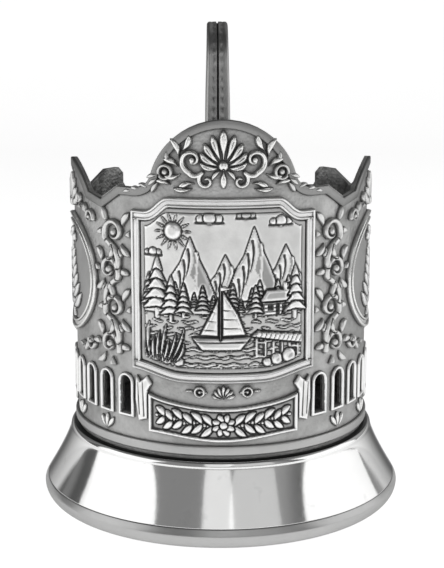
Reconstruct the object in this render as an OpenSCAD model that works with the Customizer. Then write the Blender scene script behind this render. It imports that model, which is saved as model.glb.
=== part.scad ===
// Tea glass holder: a pierced and embossed metal cup on a polished spreading foot,
// with a loop handle behind. The cup's axis is Z and the foot stands on z = 0. The
// front picture faces -Y and the handle lies at +Y. Azimuths are in degrees from -Y
// towards +X. Heights on the wall are counted from the foot's flange.

/* [Cup wall] */
// Inner radius of the cup, which takes a tea glass of 66 to 67 mm
bore_r = 33.8; // [30:0.1:40]
// Thickness of the rolled wall sheet
wall_t = 0.8; // [0.6:0.1:1.4]
// Height of the full round part of the wall, which is its lowest rim behind
wall_h = 51.6; // [48:0.2:53]
// Thickness of the stamped floor
floor_t = 0.8; // [0.6:0.1:1.2]

/* [Rim] */
// Height of the rim's straight shoulder beside the front crest
shoulder_h = 60.1; // [58:0.1:64]
// Height of the front crest's top
crest_h = 75.2; // [70:0.1:78]
// Radius of the front crest's dome
crest_r = 16; // [14:0.5:17]
// Radius of the fillet at the foot of the crest
crest_fillet_r = 4; // [2:0.5:6]
// Azimuth of the notch between the front and each side
notch_az = 50.2; // [48:0.2:52]
// Height of the front notch's bottom
notch_h = 56.7; // [54.5:0.1:58]
// Height of the side crest's top
side_crest_h = 64; // [61:0.2:66]
// Radius of the side crest's dome
side_crest_r = 15; // [12:0.5:18]
// Height of the notch behind each side crest
rear_notch_h = 54.3; // [53:0.1:56]
// Height of the rear shoulder
rear_shoulder_h = 57.9; // [56.5:0.1:60]
// Azimuth where the rear shoulder drops to the low rim
rear_drop_az = 133.5; // [131:0.5:146]

/* [Slots] */
// Number of slots on each side
slot_count = 9; // [5:2:9]
// Angle between two slots
slot_pitch = 10.33; // [9:0.01:10.4]
// Width of a slot
slot_w = 2.8; // [2:0.1:3.2]
// Height of a slot
slot_h = 8.5; // [6:0.1:9]
// Height of a slot's lower end
slot_low_h = 8.9; // [8.4:0.1:9.4]
// Width of the raised edge round a slot
slot_edge = 0.85; // [0.6:0.05:1]
// Azimuth of each side's middle
side_az = 79.7; // [78:0.1:81]

/* [Foot] */
// Height of the foot, up to the flange that carries the wall
foot_h = 18.4; // [16:0.1:24]
// Outer radius of the foot's lip
foot_r = 43.1; // [41:0.1:46]
// Thickness of the spun foot sheet
foot_t = 0.8; // [0.6:0.1:1.2]
// Height of the rolled lip round the foot
lip_h = 5.1; // [4:0.1:7]
// Inner radius of the flange at the foot's top
flange_r = 28; // [24:0.5:30]

/* [Handle] */
// Width of the handle across the cup
handle_w = 6.6; // [5:0.1:9]
// Thickness of the handle's loop
handle_t = 3.8; // [2.5:0.1:5]
// Height of the handle's top above the table
handle_top = 111.5; // [106:0.5:118]
// Distance from the cup's axis to the handle's outermost edge
handle_reach = 72; // [68:0.5:76]
// Height of the handle's upper joint above the table
upper_joint_z = 62; // [60:0.5:63]
// Height of the handle's lower joint above the table
lower_joint_z = 33; // [31:0.5:36]
// Bend radius where the handle leaves the upper joint
joint_bend_r = 6; // [5:0.5:8]
// Bend radius over the handle's top
top_bend_r = 12; // [9:0.5:13]
// Bend radius of the handle's lower curve
low_bend_r = 26; // [22:0.5:27]

/* [Pictures] */
// Half angle that the front picture's frame spans
frame_az = 34.8; // [34.6:0.1:35.8]
// Height of the frame's lower edge in the middle
frame_low_h = 17.6; // [17.4:0.1:18.6]
// Height of the frame's upper corners
frame_corner_h = 55.3; // [54:0.1:56]
// Rise of the frame's arched top over its corners
frame_arch_rise = 3.2; // [2:0.1:3.4]
// Height of the ribbon's lower edge in the middle
ribbon_low_h = 4.2; // [3.8:0.1:4.6]
// Height of the ribbon's field
ribbon_h = 7.8; // [6:0.1:8.2]
// Width of a folded end of the ribbon
tail_w = 2.9; // [2:0.1:3.2]
// Height of a folded end's tip over the ribbon's lower edge
tail_h = 14.2; // [11:0.1:14.6]
// Clearance between a folded end and the nearest slot's raised edge
tail_gap = 0.45; // [0.3:0.05:1]
// Half width of the oval picture on each side
oval_half_w = 15.2; // [13:0.1:15.6]
// Half height of the oval picture on each side
oval_half_h = 13.8; // [12:0.1:14.4]
// Height of the oval pictures' middle
oval_mid_h = 37.6; // [36:0.1:38]

/* [Ornament] */
// Length of the palmette's middle lobe
palmette_len = 7.4; // [6.4:0.1:7.8]
// Width of a palmette lobe
lobe_w = 1.5; // [1.2:0.05:1.8]
// Radius of the crest's scrolls
scroll_r = 2.3; // [1.8:0.05:2.5]
// Width of a scroll's line
scroll_line = 0.7; // [0.5:0.05:0.8]
// Radius of the crest's roundels
roundel_r = 1.6; // [1.2:0.05:1.8]
// Length of the leaves beside and above the ovals
leaf_len = 5.4; // [4.6:0.1:5.8]
// Height of the shell under the front frame
shell_h = 3; // [2.4:0.1:3.2]

/* [Relief] */
// Height of the low relief over the wall
relief_low = 0.25; // [0.15:0.05:0.4]
// Height of the middle relief over the wall
relief_mid = 0.55; // [0.45:0.05:0.65]
// Height of the high relief over the wall
relief_high = 0.95; // [0.75:0.05:1.2]
// Solder gap between the wall and what lies on it
solder_gap = 0.05; // [0.03:0.01:0.1]

/* [Hidden] */

$fn = 96;
wall_r = bore_r + wall_t;
relief_r = wall_r + solder_gap;
field_r = relief_r + relief_mid;
seat_rise = 0.1;
wall_low_z = foot_h + floor_t - seat_rise;
far = 2 * foot_r;
cut = 1;
// Angle between a notch's bottom and the shoulder beside it
notch_slope_az = 9;
// Lap of neighbouring rim outlines
lap = 0.2;
silver = [0.62, 0.62, 0.61];
bright_silver = [0.86, 0.86, 0.86];
pale_silver = [0.74, 0.74, 0.73];

// Across position of an azimuth in a view along the middle of its own field
function across(az) = field_r * sin(az);
// Smooth step from 0 at a to 1 at b
function ease(t) = (1 - cos(180 * min(1, max(0, t)))) / 2;
// Points on an arc from angle a0 to a1
function arc(c, r, a0, a1, n) = [for (i = [0:n]) let (a = a0 + (a1 - a0) * i / n)
    c + r * [cos(a), sin(a)]];
// The same points mirrored about the vertical line, in reverse order
function mirrored(p) = [for (i = [len(p) - 1:-1:0]) [-p[i][0], p[i][1]]];
// Point on a quadratic curve with control points a, b and c
function bend(a, b, c, t) = (1 - t) * (1 - t) * a + 2 * t * (1 - t) * b + t * t * c;

module tube(r_in, r_out, low, high) {
    difference() {
        translate([0, 0, low]) cylinder(r = r_out, h = high - low);
        translate([0, 0, low - cut]) cylinder(r = r_in, h = high - low + 2 * cut);
    }
}

// Stands a flat outline, in across and height, up in front of the wall at an azimuth
module facing(az) {
    rotate([0, 0, az]) translate([0, 0, foot_h]) rotate([90, 0, 0]) linear_extrude(far) children();
}

// Wraps a flat outline round the wall as relief from one height to another
module relief(az, low, high) {
    intersection() {
        tube(relief_r + low, relief_r + high, foot_h, foot_h + crest_h);
        facing(az) children();
    }
}

// Wall, floor and foot

// Outline under the front crest and its shoulders, out to the notches
module front_tab_outline() {
    reach = across(notch_az) + lap;
    shoulder_x = across(notch_az - notch_slope_az);
    dome_z = crest_h - crest_r;
    fillet_z = shoulder_h + crest_fillet_r;
    fillet_x = sqrt(pow(crest_r + crest_fillet_r, 2) - pow(fillet_z - dome_z, 2));
    lean = atan2(fillet_z - dome_z, fillet_x);
    right_half = concat(
        arc([0, dome_z], crest_r, 84, lean, 10),
        arc([fillet_x, fillet_z], crest_fillet_r, 180 + lean + 12, 270, 4),
        [[shoulder_x, shoulder_h], [reach, notch_h], [reach, wall_h - cut]]);
    polygon(concat(mirrored(right_half), [[0, crest_h]], right_half));
}

// Outline under a side crest, from its front notch to its rear notch
module side_tab_outline(toward_rear) {
    half = across(side_az - notch_az) + lap;
    dome_z = side_crest_h - side_crest_r;
    start = asin((notch_h + 1 - dome_z) / side_crest_r);
    dome = arc([0, dome_z], side_crest_r, 180 - start, start, 12);
    outline = concat([[-half, wall_h - cut], [-half, notch_h]], dome,
        [[half, rear_notch_h], [half, wall_h - cut]]);
    polygon([for (p = outline) [toward_rear * p[0], p[1]]]);
}

// Outline under the rear shoulder, from the rear notch to its drop and the slope at its foot
module rear_tab_outline(toward_rear) {
    rear_notch_az = 2 * side_az - notch_az;
    half = across((rear_drop_az - rear_notch_az) / 2);
    corner = 1.5;
    foot_slope = 0.65;
    foot_rise = 0.38 * (rear_shoulder_h - wall_h);
    outline = [
        [-half - 2 * lap, wall_h - cut], [half + foot_slope * (foot_rise + cut), wall_h - cut],
        [half, wall_h + foot_rise], [half, rear_shoulder_h - corner], [half - corner, rear_shoulder_h],
        [half / 5, rear_shoulder_h], [-half - 2 * lap, rear_notch_h]
    ];
    polygon([for (p = outline) [toward_rear * p[0], p[1]]]);
}

// Outline of a slot that stands on z = 0 and is grown all round by an edge
module slot_outline(edge) {
    r = slot_w / 2 + edge;
    translate([-r, -edge]) square([2 * r, slot_h - slot_w / 2 + edge]);
    translate([0, slot_h - slot_w / 2]) circle(r = r);
}

// Azimuth of a slot on the right side, counted from the front
function slot_az(i) = side_az + slot_pitch * (i - (slot_count - 1) / 2);

// Punch that pierces one slot
module slot_cutter(az) {
    reach = 3;
    rotate([0, 0, az]) translate([0, reach - bore_r, foot_h + slot_low_h])
        rotate([90, 0, 0]) linear_extrude(wall_t + 2 * reach) slot_outline(0);
}

// Part of the wall that stands above its full round part, under a flat outline
module wall_tab(az) {
    intersection() {
        tube(bore_r, wall_r, foot_h + wall_h, foot_h + crest_h + cut);
        facing(az) children();
    }
}

module wall_band() {
    rear_tab_az = (rear_drop_az + 2 * side_az - notch_az) / 2;
    color(silver) {
        difference() {
            tube(bore_r, wall_r, wall_low_z, foot_h + wall_h);
            for (side = [-1, 1]) for (i = [0:slot_count - 1]) slot_cutter(side * slot_az(i));
        }
        wall_tab(0) front_tab_outline();
        for (side = [-1, 1]) {
            wall_tab(side * side_az) side_tab_outline(side);
            wall_tab(side * rear_tab_az) rear_tab_outline(side);
        }
    }
}

// Flat band with rounded edges, round the wall just above the groove over the foot
module base_moulding() {
    low_z = foot_h + 1;
    band_h = 2.2;
    band_t = 0.65;
    edge_r = 0.4;
    color(pale_silver) rotate_extrude() polygon(concat(
        [[relief_r, low_z]],
        arc([relief_r + band_t - edge_r, low_z + edge_r], edge_r, -90, 0, 4),
        arc([relief_r + band_t - edge_r, low_z + band_h - edge_r], edge_r, 0, 90, 4),
        [[relief_r, low_z + band_h]]));
}

// Stamped floor whose edge lies between the wall and the foot's flange
module floor_pan() {
    seat_gap = 0.3;
    seat_r = bore_r - seat_gap;
    well_r = flange_r - 0.5;
    well_slope = 1;
    well_drop = foot_t + 0.4;
    top_z = foot_h + floor_t;
    color(silver) rotate_extrude() polygon([
        [0, foot_h - well_drop], [well_r - well_slope, foot_h - well_drop], [well_r, foot_h],
        [wall_r, foot_h], [wall_r, wall_low_z], [seat_r, wall_low_z], [seat_r, top_z],
        [well_r - floor_t, top_z], [well_r - floor_t - well_slope, top_z - well_drop],
        [0, top_z - well_drop]
    ]);
}

// Bend radius of the foot's shoulder, and how far the shoulder stands out from the wall
shoulder_r = 1.4;
shoulder_out = 1.9;
// How far the flank ends inside the lip
lip_out = 0.8;

// Radius and height along the foot's flank, from under its shoulder to the lip
function flank(t) = bend(
    [wall_r + shoulder_out, foot_h - shoulder_r - 0.1],
    [wall_r + shoulder_out + 1.1, foot_h - 4 * shoulder_r],
    [foot_r - lip_out, lip_h], t);

module foot_shell() {
    steps = 8;
    shoulder_c = [wall_r + shoulder_out - shoulder_r, foot_h - shoulder_r];
    outer = concat(arc(shoulder_c, shoulder_r, 90, 0, 5), [for (i = [1:steps]) flank(i / steps)]);
    inner = concat(
        [for (i = [steps:-1:1]) flank(i / steps) - [foot_t * 1.1, 0]],
        [for (a = [0:18:90]) shoulder_c + (shoulder_r - foot_t) * [cos(a), sin(a)]]);
    color(bright_silver) rotate_extrude() polygon(
        concat([[flange_r, foot_h]], outer, inner, [[flange_r, foot_h - foot_t]]));
}

// Rolled lip, with a flat turned in under it on which the foot stands
module foot_lip() {
    lip_t = 1;
    top_r = 1;
    straight_h = 0.7;
    rest_w = 2;
    roll_r = lip_h - top_r - straight_h;
    roll_c = [foot_r - roll_r, roll_r];
    color(bright_silver) rotate_extrude() polygon(concat(
        [[roll_c[0] - rest_w, 0]],
        arc(roll_c, roll_r, -90, 0, 10),
        arc([foot_r - top_r, lip_h - top_r], top_r, 0, 90, 4),
        [[foot_r - 2 * lip_t, lip_h]],
        arc(roll_c, roll_r - lip_t, 0, -90, 8),
        [[roll_c[0] - rest_w, lip_t]]));
}

// Front picture

bead_w = 0.7;
bead_step = 1.5;
frame_w = bead_step + bead_w;
frame_low_rise = 2.1;
panel_gap = 0.1;
// Across positions where the frame's arch starts, where it is full, and where its lower edge rises
arch_start = across(29);
arch_full = across(20);
low_start = across(14);

// Top and bottom edges of the frame at an across position
function frame_top(x) = frame_corner_h
    + frame_arch_rise * ease((arch_start - abs(x)) / (arch_start - arch_full));
function frame_bottom(x) = frame_low_h
    + frame_low_rise * ease((abs(x) - low_start) / (across(frame_az) - low_start));

module frame_outline(inset) {
    half = across(frame_az) - inset;
    steps = 24;
    top = [for (i = [0:steps]) let (x = half * (1 - 2 * i / steps)) [x, frame_top(x) - inset]];
    bottom = [for (i = [0:steps]) let (x = half * (2 * i / steps - 1)) [x, frame_bottom(x) + inset]];
    polygon(concat(top, bottom));
}

module frame_ring(from, to) {
    difference() {
        frame_outline(from);
        frame_outline(to);
    }
}

module front_frame() {
    color(pale_silver) {
        relief(0, 0, relief_low) frame_ring(0, frame_w);
        relief(0, 0, relief_high) frame_ring(0, bead_w);
        relief(0, 0, relief_high) frame_ring(bead_step, frame_w);
    }
}

// A fir tree of stacked tiers that stands on z = 0
module fir(height) {
    tiers = 3;
    half = height * 0.24;
    for (i = [0:tiers - 1]) let (low = height * (0.12 + 0.26 * i), w = half * (1 - 0.25 * i))
        polygon([[-w, low], [w, low], [0, low + height * 0.36]]);
    translate([-height * 0.04, 0]) square([height * 0.08, height * 0.2]);
}

module sailing_boat() {
    polygon([[-4.2, 1.6], [4.4, 1.6], [3, 0], [-3, 0]]);
    polygon([[0.3, 2.2], [3.4, 2.2], [0.3, 9.4]]);
    polygon([[-0.3, 2.2], [-2.6, 2.2], [-0.3, 7.6]]);
}

// Panel with mountains, a sun, fir trees and a boat on a lake
module front_picture() {
    shore_h = frame_low_h + 15.4;
    peaks = [[-18, 9], [-12, 15], [-8, 11], [-1, 20], [4, 13], [7, 15.5], [18, 5]];
    firs = [[-13.5, 0, 11], [-9.5, 0.6, 8], [12, 0.4, 9], [15, 0, 7]];
    ripples = [[-12, -2.6, 6], [8, -3.4, 7], [-9, -5.8, 8], [9.5, -6.8, 5], [-4, -9.4, 12]];
    color(bright_silver) {
        relief(0, 0, relief_low / 2) frame_outline(frame_w + panel_gap);
        relief(0, 0, relief_low) intersection() {
            frame_outline(frame_w + 2);
            translate([0, shore_h]) polygon(concat([[-18, 0]], peaks, [[18, 0]]));
        }
        relief(0, 0, relief_mid) translate([0, shore_h]) {
            translate([9.5, 18.5]) circle(r = 2.3, $fn = 32);
            translate([2, -6.5]) sailing_boat();
            for (f = firs) translate([f[0], f[1]]) fir(f[2]);
            for (w = ripples) translate([w[0], w[1]]) square([w[2], 0.6], center = true);
        }
    }
}

// Small shell between two roundels under the frame's lower edge
module frame_keystone() {
    low_h = frame_low_h - shell_h - 0.4;
    color(pale_silver) relief(0, 0, relief_high) {
        for (a = [-50:25:50]) translate([0, low_h]) rotate(a) lobe(shell_h, lobe_w);
        for (side = [-1, 1]) translate([side * across(8.5), low_h + shell_h / 2]) difference() {
            circle(r = 1.25, $fn = 32);
            circle(r = 0.6, $fn = 24);
        }
    }
}

// Ribbon

// Across position of the nearest slot's raised edge, and of the fold at the ribbon's end
first_edge = across(slot_az(0) - asin((slot_w / 2 + slot_edge) / field_r));
fold_x = first_edge - tail_gap - tail_w;
fold_gap = 0.15;
ribbon_half = fold_x - fold_gap;
ribbon_droop = 1.4;
// How much higher the ribbon's field is at its ends
ribbon_flare = 1.2;

// Edges of the ribbon at an across position, drooping to the middle
function ribbon_low(x) = ribbon_low_h + ribbon_droop * ease(abs(x) / ribbon_half);
function ribbon_high(x) = ribbon_low(x) + ribbon_h + ribbon_flare * pow(abs(x) / ribbon_half, 6);

module ribbon_field(inset) {
    half = ribbon_half - inset;
    steps = 16;
    xs = [for (i = [0:steps]) half * (2 * i / steps - 1)];
    polygon(concat(
        [for (x = xs) [x, ribbon_low(x) + inset]],
        [for (i = [steps:-1:0]) [xs[i], ribbon_high(xs[i]) - inset]]));
}

// Bare ribbon with a raised border line
module ribbon() {
    border = 0.6;
    color(bright_silver) {
        relief(0, 0, relief_mid) ribbon_field(0);
        relief(0, 0, relief_high) difference() {
            ribbon_field(0);
            ribbon_field(border);
        }
    }
}

// Forked ends of the ribbon that turn up beside it
module ribbon_tails() {
    inner_h = ribbon_droop + ribbon_h + ribbon_flare + 2 * fold_gap;
    outline = [
        [0, 0.3 * tail_h], [0.75 * tail_w, 0.24 * tail_h], [tail_w, 0.6 * tail_h],
        [0.95 * tail_w, 0.99 * tail_h], [0.6 * tail_w, 0.89 * tail_h], [0.05 * tail_w, tail_h],
        [-0.34 * tail_w, (inner_h + tail_h) / 2], [0, inner_h]
    ];
    color(bright_silver) for (side = [-1, 1]) relief(0, 0, relief_mid)
        polygon([for (p = outline) [side * (fold_x + p[0]), ribbon_low_h + p[1]]]);
}

// Crest

// A lobe of a palmette that grows along +Z from the origin
module lobe(length, width) {
    right = [[0.18, 0], [0.4, 0.55], [0.5, 0.8], [0.26, 0.96]];
    half = [for (p = right) [p[0] * width, p[1] * length]];
    polygon(concat(half, [[0, length]], mirrored(half)));
}

// Height of the point that the palmette's lobes grow from
palmette_h = crest_h - palmette_len - 2.4;

module crest_palmette() {
    color(pale_silver) relief(0, 0, relief_high) {
        for (i = [-4:4]) translate([0, palmette_h]) rotate(-i * 20)
            lobe(palmette_len * (1 - 0.1 * abs(i)), lobe_w);
        translate([0, palmette_h]) circle(r = 0.8 * lobe_w, $fn = 32);
        translate([0, palmette_h - lobe_w / 2]) rotate(180) lobe(palmette_len / 2, lobe_w);
    }
}

// A C-shaped scroll that opens to +X, with a round eye at each end
module c_scroll(r, line) {
    difference() {
        circle(r = r, $fn = 48);
        circle(r = r - line, $fn = 48);
        polygon([[0, 0], [2 * r, r * 1.2], [2 * r, -r * 1.2]]);
    }
    for (side = [-1, 1]) rotate(side * 38) translate([r - line * 0.9, 0]) circle(r = line, $fn = 24);
}

module crest_scrolls() {
    color(pale_silver) for (side = [-1, 1]) relief(0, 0, relief_high)
        translate([side * (2 * scroll_r + 2.4), palmette_h - 0.4]) rotate(side > 0 ? 150 : 30)
            c_scroll(scroll_r, scroll_line);
}

module crest_roundels() {
    color(pale_silver) for (side = [-1, 1]) relief(0, 0, relief_mid)
        translate([side * (3 * scroll_r + roundel_r + 3.3), palmette_h - roundel_r]) difference() {
            circle(r = roundel_r, $fn = 32);
            circle(r = roundel_r / 2, $fn = 24);
        }
}

// Sides

module oval(grow) {
    steps = 32;
    translate([0, oval_mid_h]) polygon([for (i = [0:steps - 1])
        [(oval_half_w + grow) * cos(360 * i / steps), (oval_half_h + grow) * sin(360 * i / steps)]]);
}

module side_frame(side) {
    color(pale_silver) {
        relief(side * side_az, 0, relief_low) difference() {
            oval(0);
            oval(-frame_w);
        }
        relief(side * side_az, 0, relief_high + 0.1) difference() {
            oval(0);
            oval(-bead_w);
        }
        relief(side * side_az, 0, relief_high) difference() {
            oval(-bead_step);
            oval(-frame_w);
        }
    }
}

// Oval panel with a branch of leaves and a round fruit
module side_picture(side) {
    stem_w = 0.6;
    color(bright_silver) {
        relief(side * side_az, 0, relief_low / 2) oval(-frame_w - panel_gap);
        relief(side * side_az, 0, relief_mid) translate([0, oval_mid_h]) {
            translate([-stem_w / 2, -0.65 * oval_half_h]) square([stem_w, 1.16 * oval_half_h]);
            for (k = [-2:2]) for (turn = [-52, 52]) translate([0, (0.23 * k - 0.07) * oval_half_h])
                rotate(turn) lobe(1.1 * leaf_len * (1 - abs(k) / 6), 0.37 * leaf_len);
            translate([0, 0.51 * oval_half_h]) circle(r = 2.5 * stem_w, $fn = 32);
        }
    }
}

module side_crest_leaf(side) {
    color(pale_silver) relief(side * side_az, 0, relief_mid)
        for (i = [-2:2]) translate([0, side_crest_h - 2 * leaf_len]) rotate(-i * 30)
            lobe(leaf_len * (1.15 - abs(i) / 6), 0.32 * leaf_len);
}

// Spirals, leaves and an upper scroll on the strip beside an oval, with heights from its middle
module strip_scrolls(az, side) {
    line = 0.85 * scroll_line;
    leaf_w = 0.3 * leaf_len;
    color(pale_silver) relief(az, 0, relief_mid) mirror([side < 0 ? 1 : 0, 0]) translate([0, oval_mid_h]) {
        translate([0, -0.58 * oval_half_h]) rotate(200) c_scroll(0.95 * scroll_r, line);
        translate([0.3, -0.96 * oval_half_h]) rotate(20) c_scroll(1.13 * scroll_r, line);
        translate([-0.4, -0.29 * oval_half_h]) rotate(14) lobe(leaf_len, leaf_w);
        translate([0.6, -0.1 * oval_half_h]) rotate(-16) lobe(leaf_len, leaf_w);
        translate([-1.2, oval_half_h]) rotate(90) c_scroll(0.83 * scroll_r, line);
        translate([0, 0.43 * oval_half_h]) lobe(0.85 * leaf_len, leaf_w);
    }
}

front_strip_az = 45;
rear_strip_az = 2 * side_az - front_strip_az;

module slot_surrounds(side) {
    color(bright_silver) for (i = [0:slot_count - 1])
        relief(side * slot_az(i), 0, relief_mid) translate([0, slot_low_h]) difference() {
            slot_outline(slot_edge);
            slot_outline(0.1);
        }
}

// Small pointed leaves under every second slot
module base_leaves() {
    leaf_h = 3.6;
    low_h = slot_low_h - slot_edge - leaf_h - 0.85;
    color(pale_silver) for (side = [-1, 1]) for (k = [-3:2:3])
        relief(side * (side_az + k * slot_pitch), 0, relief_mid)
            translate([0, low_h + leaf_h]) rotate(180) lobe(leaf_h, leaf_h);
}

// Handle

plate_half_w = 8;
plate_low = 7.5;
plate_high = 7;
boss_y = relief_r + 1.9;
mid_t = handle_t / 2;
joint_c = [boss_y + 1.5, upper_joint_z + joint_bend_r];
top_c = [handle_reach - mid_t - top_bend_r, handle_top - mid_t - top_bend_r];
low_c = [boss_y + 4.5, lower_joint_z + low_bend_r];
// Direction of the arm's left normal, where the arm crosses from bend to bend
arm_way = joint_c - top_c;
arm_n = atan2(arm_way[1], arm_way[0]) - acos((joint_bend_r + top_bend_r) / norm(arm_way));
// Direction of the back's outward normal
back_way = top_c - low_c;
back_n = atan2(back_way[1], back_way[0]) - acos((low_bend_r - top_bend_r) / norm(back_way));

// The handle's outline at one distance from its middle line, on its outer side if positive
function handle_side(off) = concat(
    [[boss_y, upper_joint_z + off]],
    arc(joint_c, joint_bend_r - off, -90, arm_n + 180, 6),
    arc(top_c, top_bend_r + off, arm_n + 360, back_n, 14),
    arc(low_c, low_bend_r + off, back_n, -90, 12),
    [[boss_y, lower_joint_z - off]]);

module handle_profile(t) {
    outer = handle_side(t / 2);
    inner = handle_side(-t / 2);
    polygon(concat(outer, [for (i = [len(inner) - 1:-1:0]) inner[i]]));
}

// One half of the handle, from the seam out to its side
module handle_half(side) {
    seam_w = 0.35;
    seam_d = 0.5;
    edge_w = 0.6;
    color(silver) mirror([side < 0 ? 1 : 0, 0, 0]) rotate([90, 0, 90]) {
        linear_extrude(handle_w / 2) handle_profile(handle_t - 2 * seam_d);
        translate([0, 0, seam_w]) linear_extrude(handle_w / 2 - seam_w - edge_w) handle_profile(handle_t);
    }
}

// Plate on the wall's back with a flat boss that carries an end of the handle
module handle_plate(joint_z) {
    boss_h = handle_t + 2.4;
    boss_w = handle_w + 2;
    plate_t = 0.9;
    color(pale_silver) {
        relief(180, 0, plate_t) translate([0, joint_z - foot_h]) polygon([
            [-plate_half_w, -plate_low * 0.4], [0, -plate_low], [plate_half_w, -plate_low * 0.4],
            [plate_half_w, plate_high * 0.5], [plate_half_w / 2, plate_high],
            [-plate_half_w / 2, plate_high], [-plate_half_w, plate_high * 0.5]
        ]);
        difference() {
            translate([-boss_w / 2, 0, joint_z - boss_h / 2]) cube([boss_w, boss_y, boss_h]);
            translate([0, 0, joint_z - boss_h]) cylinder(r = relief_r, h = 2 * boss_h);
        }
    }
}

// Strip that covers the wall's soldered seam between the two plates
module rear_seam_strip() {
    strip_w = 4.8;
    end_gap = 0.8;
    low = lower_joint_z - foot_h + plate_high + end_gap;
    high = upper_joint_z - foot_h - plate_low - end_gap;
    color(pale_silver) relief(180, 0, relief_mid)
        translate([-strip_w / 2, low]) square([strip_w, high - low]);
}

wall_band();
base_moulding();
floor_pan();
foot_shell();
foot_lip();
front_frame();
front_picture();
frame_keystone();
ribbon();
ribbon_tails();
crest_palmette();
crest_scrolls();
crest_roundels();
side_frame(-1);  // left_frame
side_picture(-1);  // left_picture
side_frame(1);  // right_frame
side_picture(1);  // right_picture
side_crest_leaf(-1);  // left_crest_leaf
side_crest_leaf(1);  // right_crest_leaf
strip_scrolls(-front_strip_az, -1);  // left_front_scrolls
strip_scrolls(front_strip_az, 1);  // right_front_scrolls
strip_scrolls(-rear_strip_az, 1);  // left_rear_scrolls
strip_scrolls(rear_strip_az, -1);  // right_rear_scrolls
slot_surrounds(-1);  // left_slot_surrounds
slot_surrounds(1);  // right_slot_surrounds
base_leaves();
handle_half(-1);  // handle_left_half
handle_half(1);  // handle_right_half
handle_plate(upper_joint_z);  // handle_upper_plate
handle_plate(lower_joint_z);  // handle_lower_plate
rear_seam_strip();
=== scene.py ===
"""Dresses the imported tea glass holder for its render.

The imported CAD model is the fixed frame. Each class below builds one sub-assembly of the
holder at the place its CAD nodes have, and dresses it. Lengths are written in
millimetres and turned into metres when a mesh is made. Azimuths are in degrees from
-Y, the front picture's side, towards +X. Flat shapes are drawn as if the wall was
unrolled: a point is an arc length from the middle and a height above the table.
"""
import functools
import logging
import math
from dataclasses import dataclass
from enum import Enum
from typing import Optional, Sequence

import bpy
import numpy as np
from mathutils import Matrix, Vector


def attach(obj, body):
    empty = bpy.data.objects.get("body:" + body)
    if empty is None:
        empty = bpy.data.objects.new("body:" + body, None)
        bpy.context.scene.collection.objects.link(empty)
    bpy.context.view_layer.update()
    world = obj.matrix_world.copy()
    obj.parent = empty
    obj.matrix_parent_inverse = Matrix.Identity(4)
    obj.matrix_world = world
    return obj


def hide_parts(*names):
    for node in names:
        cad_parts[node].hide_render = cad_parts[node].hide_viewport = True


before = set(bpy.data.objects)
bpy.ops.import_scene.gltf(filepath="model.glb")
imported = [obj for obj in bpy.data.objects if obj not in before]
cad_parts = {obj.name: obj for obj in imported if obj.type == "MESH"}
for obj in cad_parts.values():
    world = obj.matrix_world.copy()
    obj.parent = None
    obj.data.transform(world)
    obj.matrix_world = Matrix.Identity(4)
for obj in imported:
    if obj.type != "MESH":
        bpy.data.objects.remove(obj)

LOG = logging.getLogger("tea_glass_holder")
MM = 0.001
BODY = "root"
SUNK = -0.03  # how far the pieces on the wall reach under their seat
SKIRT = 0.08  # upright edge of a relief
BEAD_FOOT = 0.06  # upright edge of a bead
SHARP = 40.0  # angle over which an edge is sharp
FAR = 1e3
TINY = 1e-9

Point = tuple[float, float]
Path = Sequence[Point]
Box = tuple[float, float, float, float]
Array = np.ndarray
Socket = bpy.types.NodeSocket
Material = bpy.types.Material


# Sizes that the source of the part holds too


@dataclass(frozen=True)
class CupSizes:
    """Sizes of the cup and what lies on it, in millimetres above the table."""

    bore_r: float = 33.8
    wall_t: float = 0.8
    foot_h: float = 18.4
    rim_z: float = 70.0
    shoulder_z: float = 78.5
    crest_z: float = 93.6
    crest_r: float = 16.0
    fillet_r: float = 4.0
    notch_az: float = 50.2
    notch_slope_az: float = 9.0
    notch_z: float = 75.1
    side_crest_z: float = 82.4
    side_crest_r: float = 15.0
    rear_notch_z: float = 72.7
    rear_shoulder_z: float = 76.3
    rear_drop_az: float = 133.5
    rear_foot_az: float = 136.2
    rear_foot_rise: float = 2.4
    side_az: float = 79.7
    slot_count: int = 9
    slot_pitch: float = 10.33
    slot_w: float = 2.8
    slot_h: float = 8.5
    slot_z: float = 27.3
    frame_az: float = 34.8
    frame_low_z: float = 36.0
    frame_low_rise: float = 2.1
    frame_corner_z: float = 73.7
    frame_arch_rise: float = 3.2
    arch_start_az: float = 29.0
    arch_full_az: float = 20.0
    low_start_az: float = 14.0
    oval_half_w: float = 15.2
    oval_half_h: float = 13.8
    oval_z: float = 56.0
    strip_az: float = 45.0
    solder_gap: float = 0.05

    @property
    def wall_r(self) -> float:
        """Outer radius of the wall."""
        return self.bore_r + self.wall_t

    @property
    def seat_r(self) -> float:
        """Radius on which the reliefs sit."""
        return self.wall_r + self.solder_gap


CUP = CupSizes()


def arc_length(azimuth: float) -> float:
    """Length along the wall that an angle in degrees spans."""
    return math.radians(azimuth) * CUP.seat_r


def ease(t: float) -> float:
    """Smooth step from 0 at 0 to 1 at 1."""
    return (1 - math.cos(math.pi * min(1.0, max(0.0, t)))) / 2


def unit(rows: Array) -> Array:
    """Flat vectors brought to a length of 1."""
    return rows / np.maximum(np.hypot(rows[:, 0], rows[:, 1]), TINY)[:, None]


def on_wall(azimuth: float, across: Array, height: Array, lift: Array | float) -> Array:
    """Wraps flat points round the wall.

    Args:
        azimuth: Azimuth of the flat field's middle, in degrees.
        across: Arc lengths from the middle.
        height: Heights above the table.
        lift: Heights over the reliefs' seat.

    Returns:
        Points in metres, one row each.
    """
    turn = math.radians(azimuth) + across / CUP.seat_r
    radius = CUP.seat_r + lift
    return np.stack([radius * np.sin(turn), -radius * np.cos(turn), height], axis=-1) * MM


# Paths and flat shapes


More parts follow.
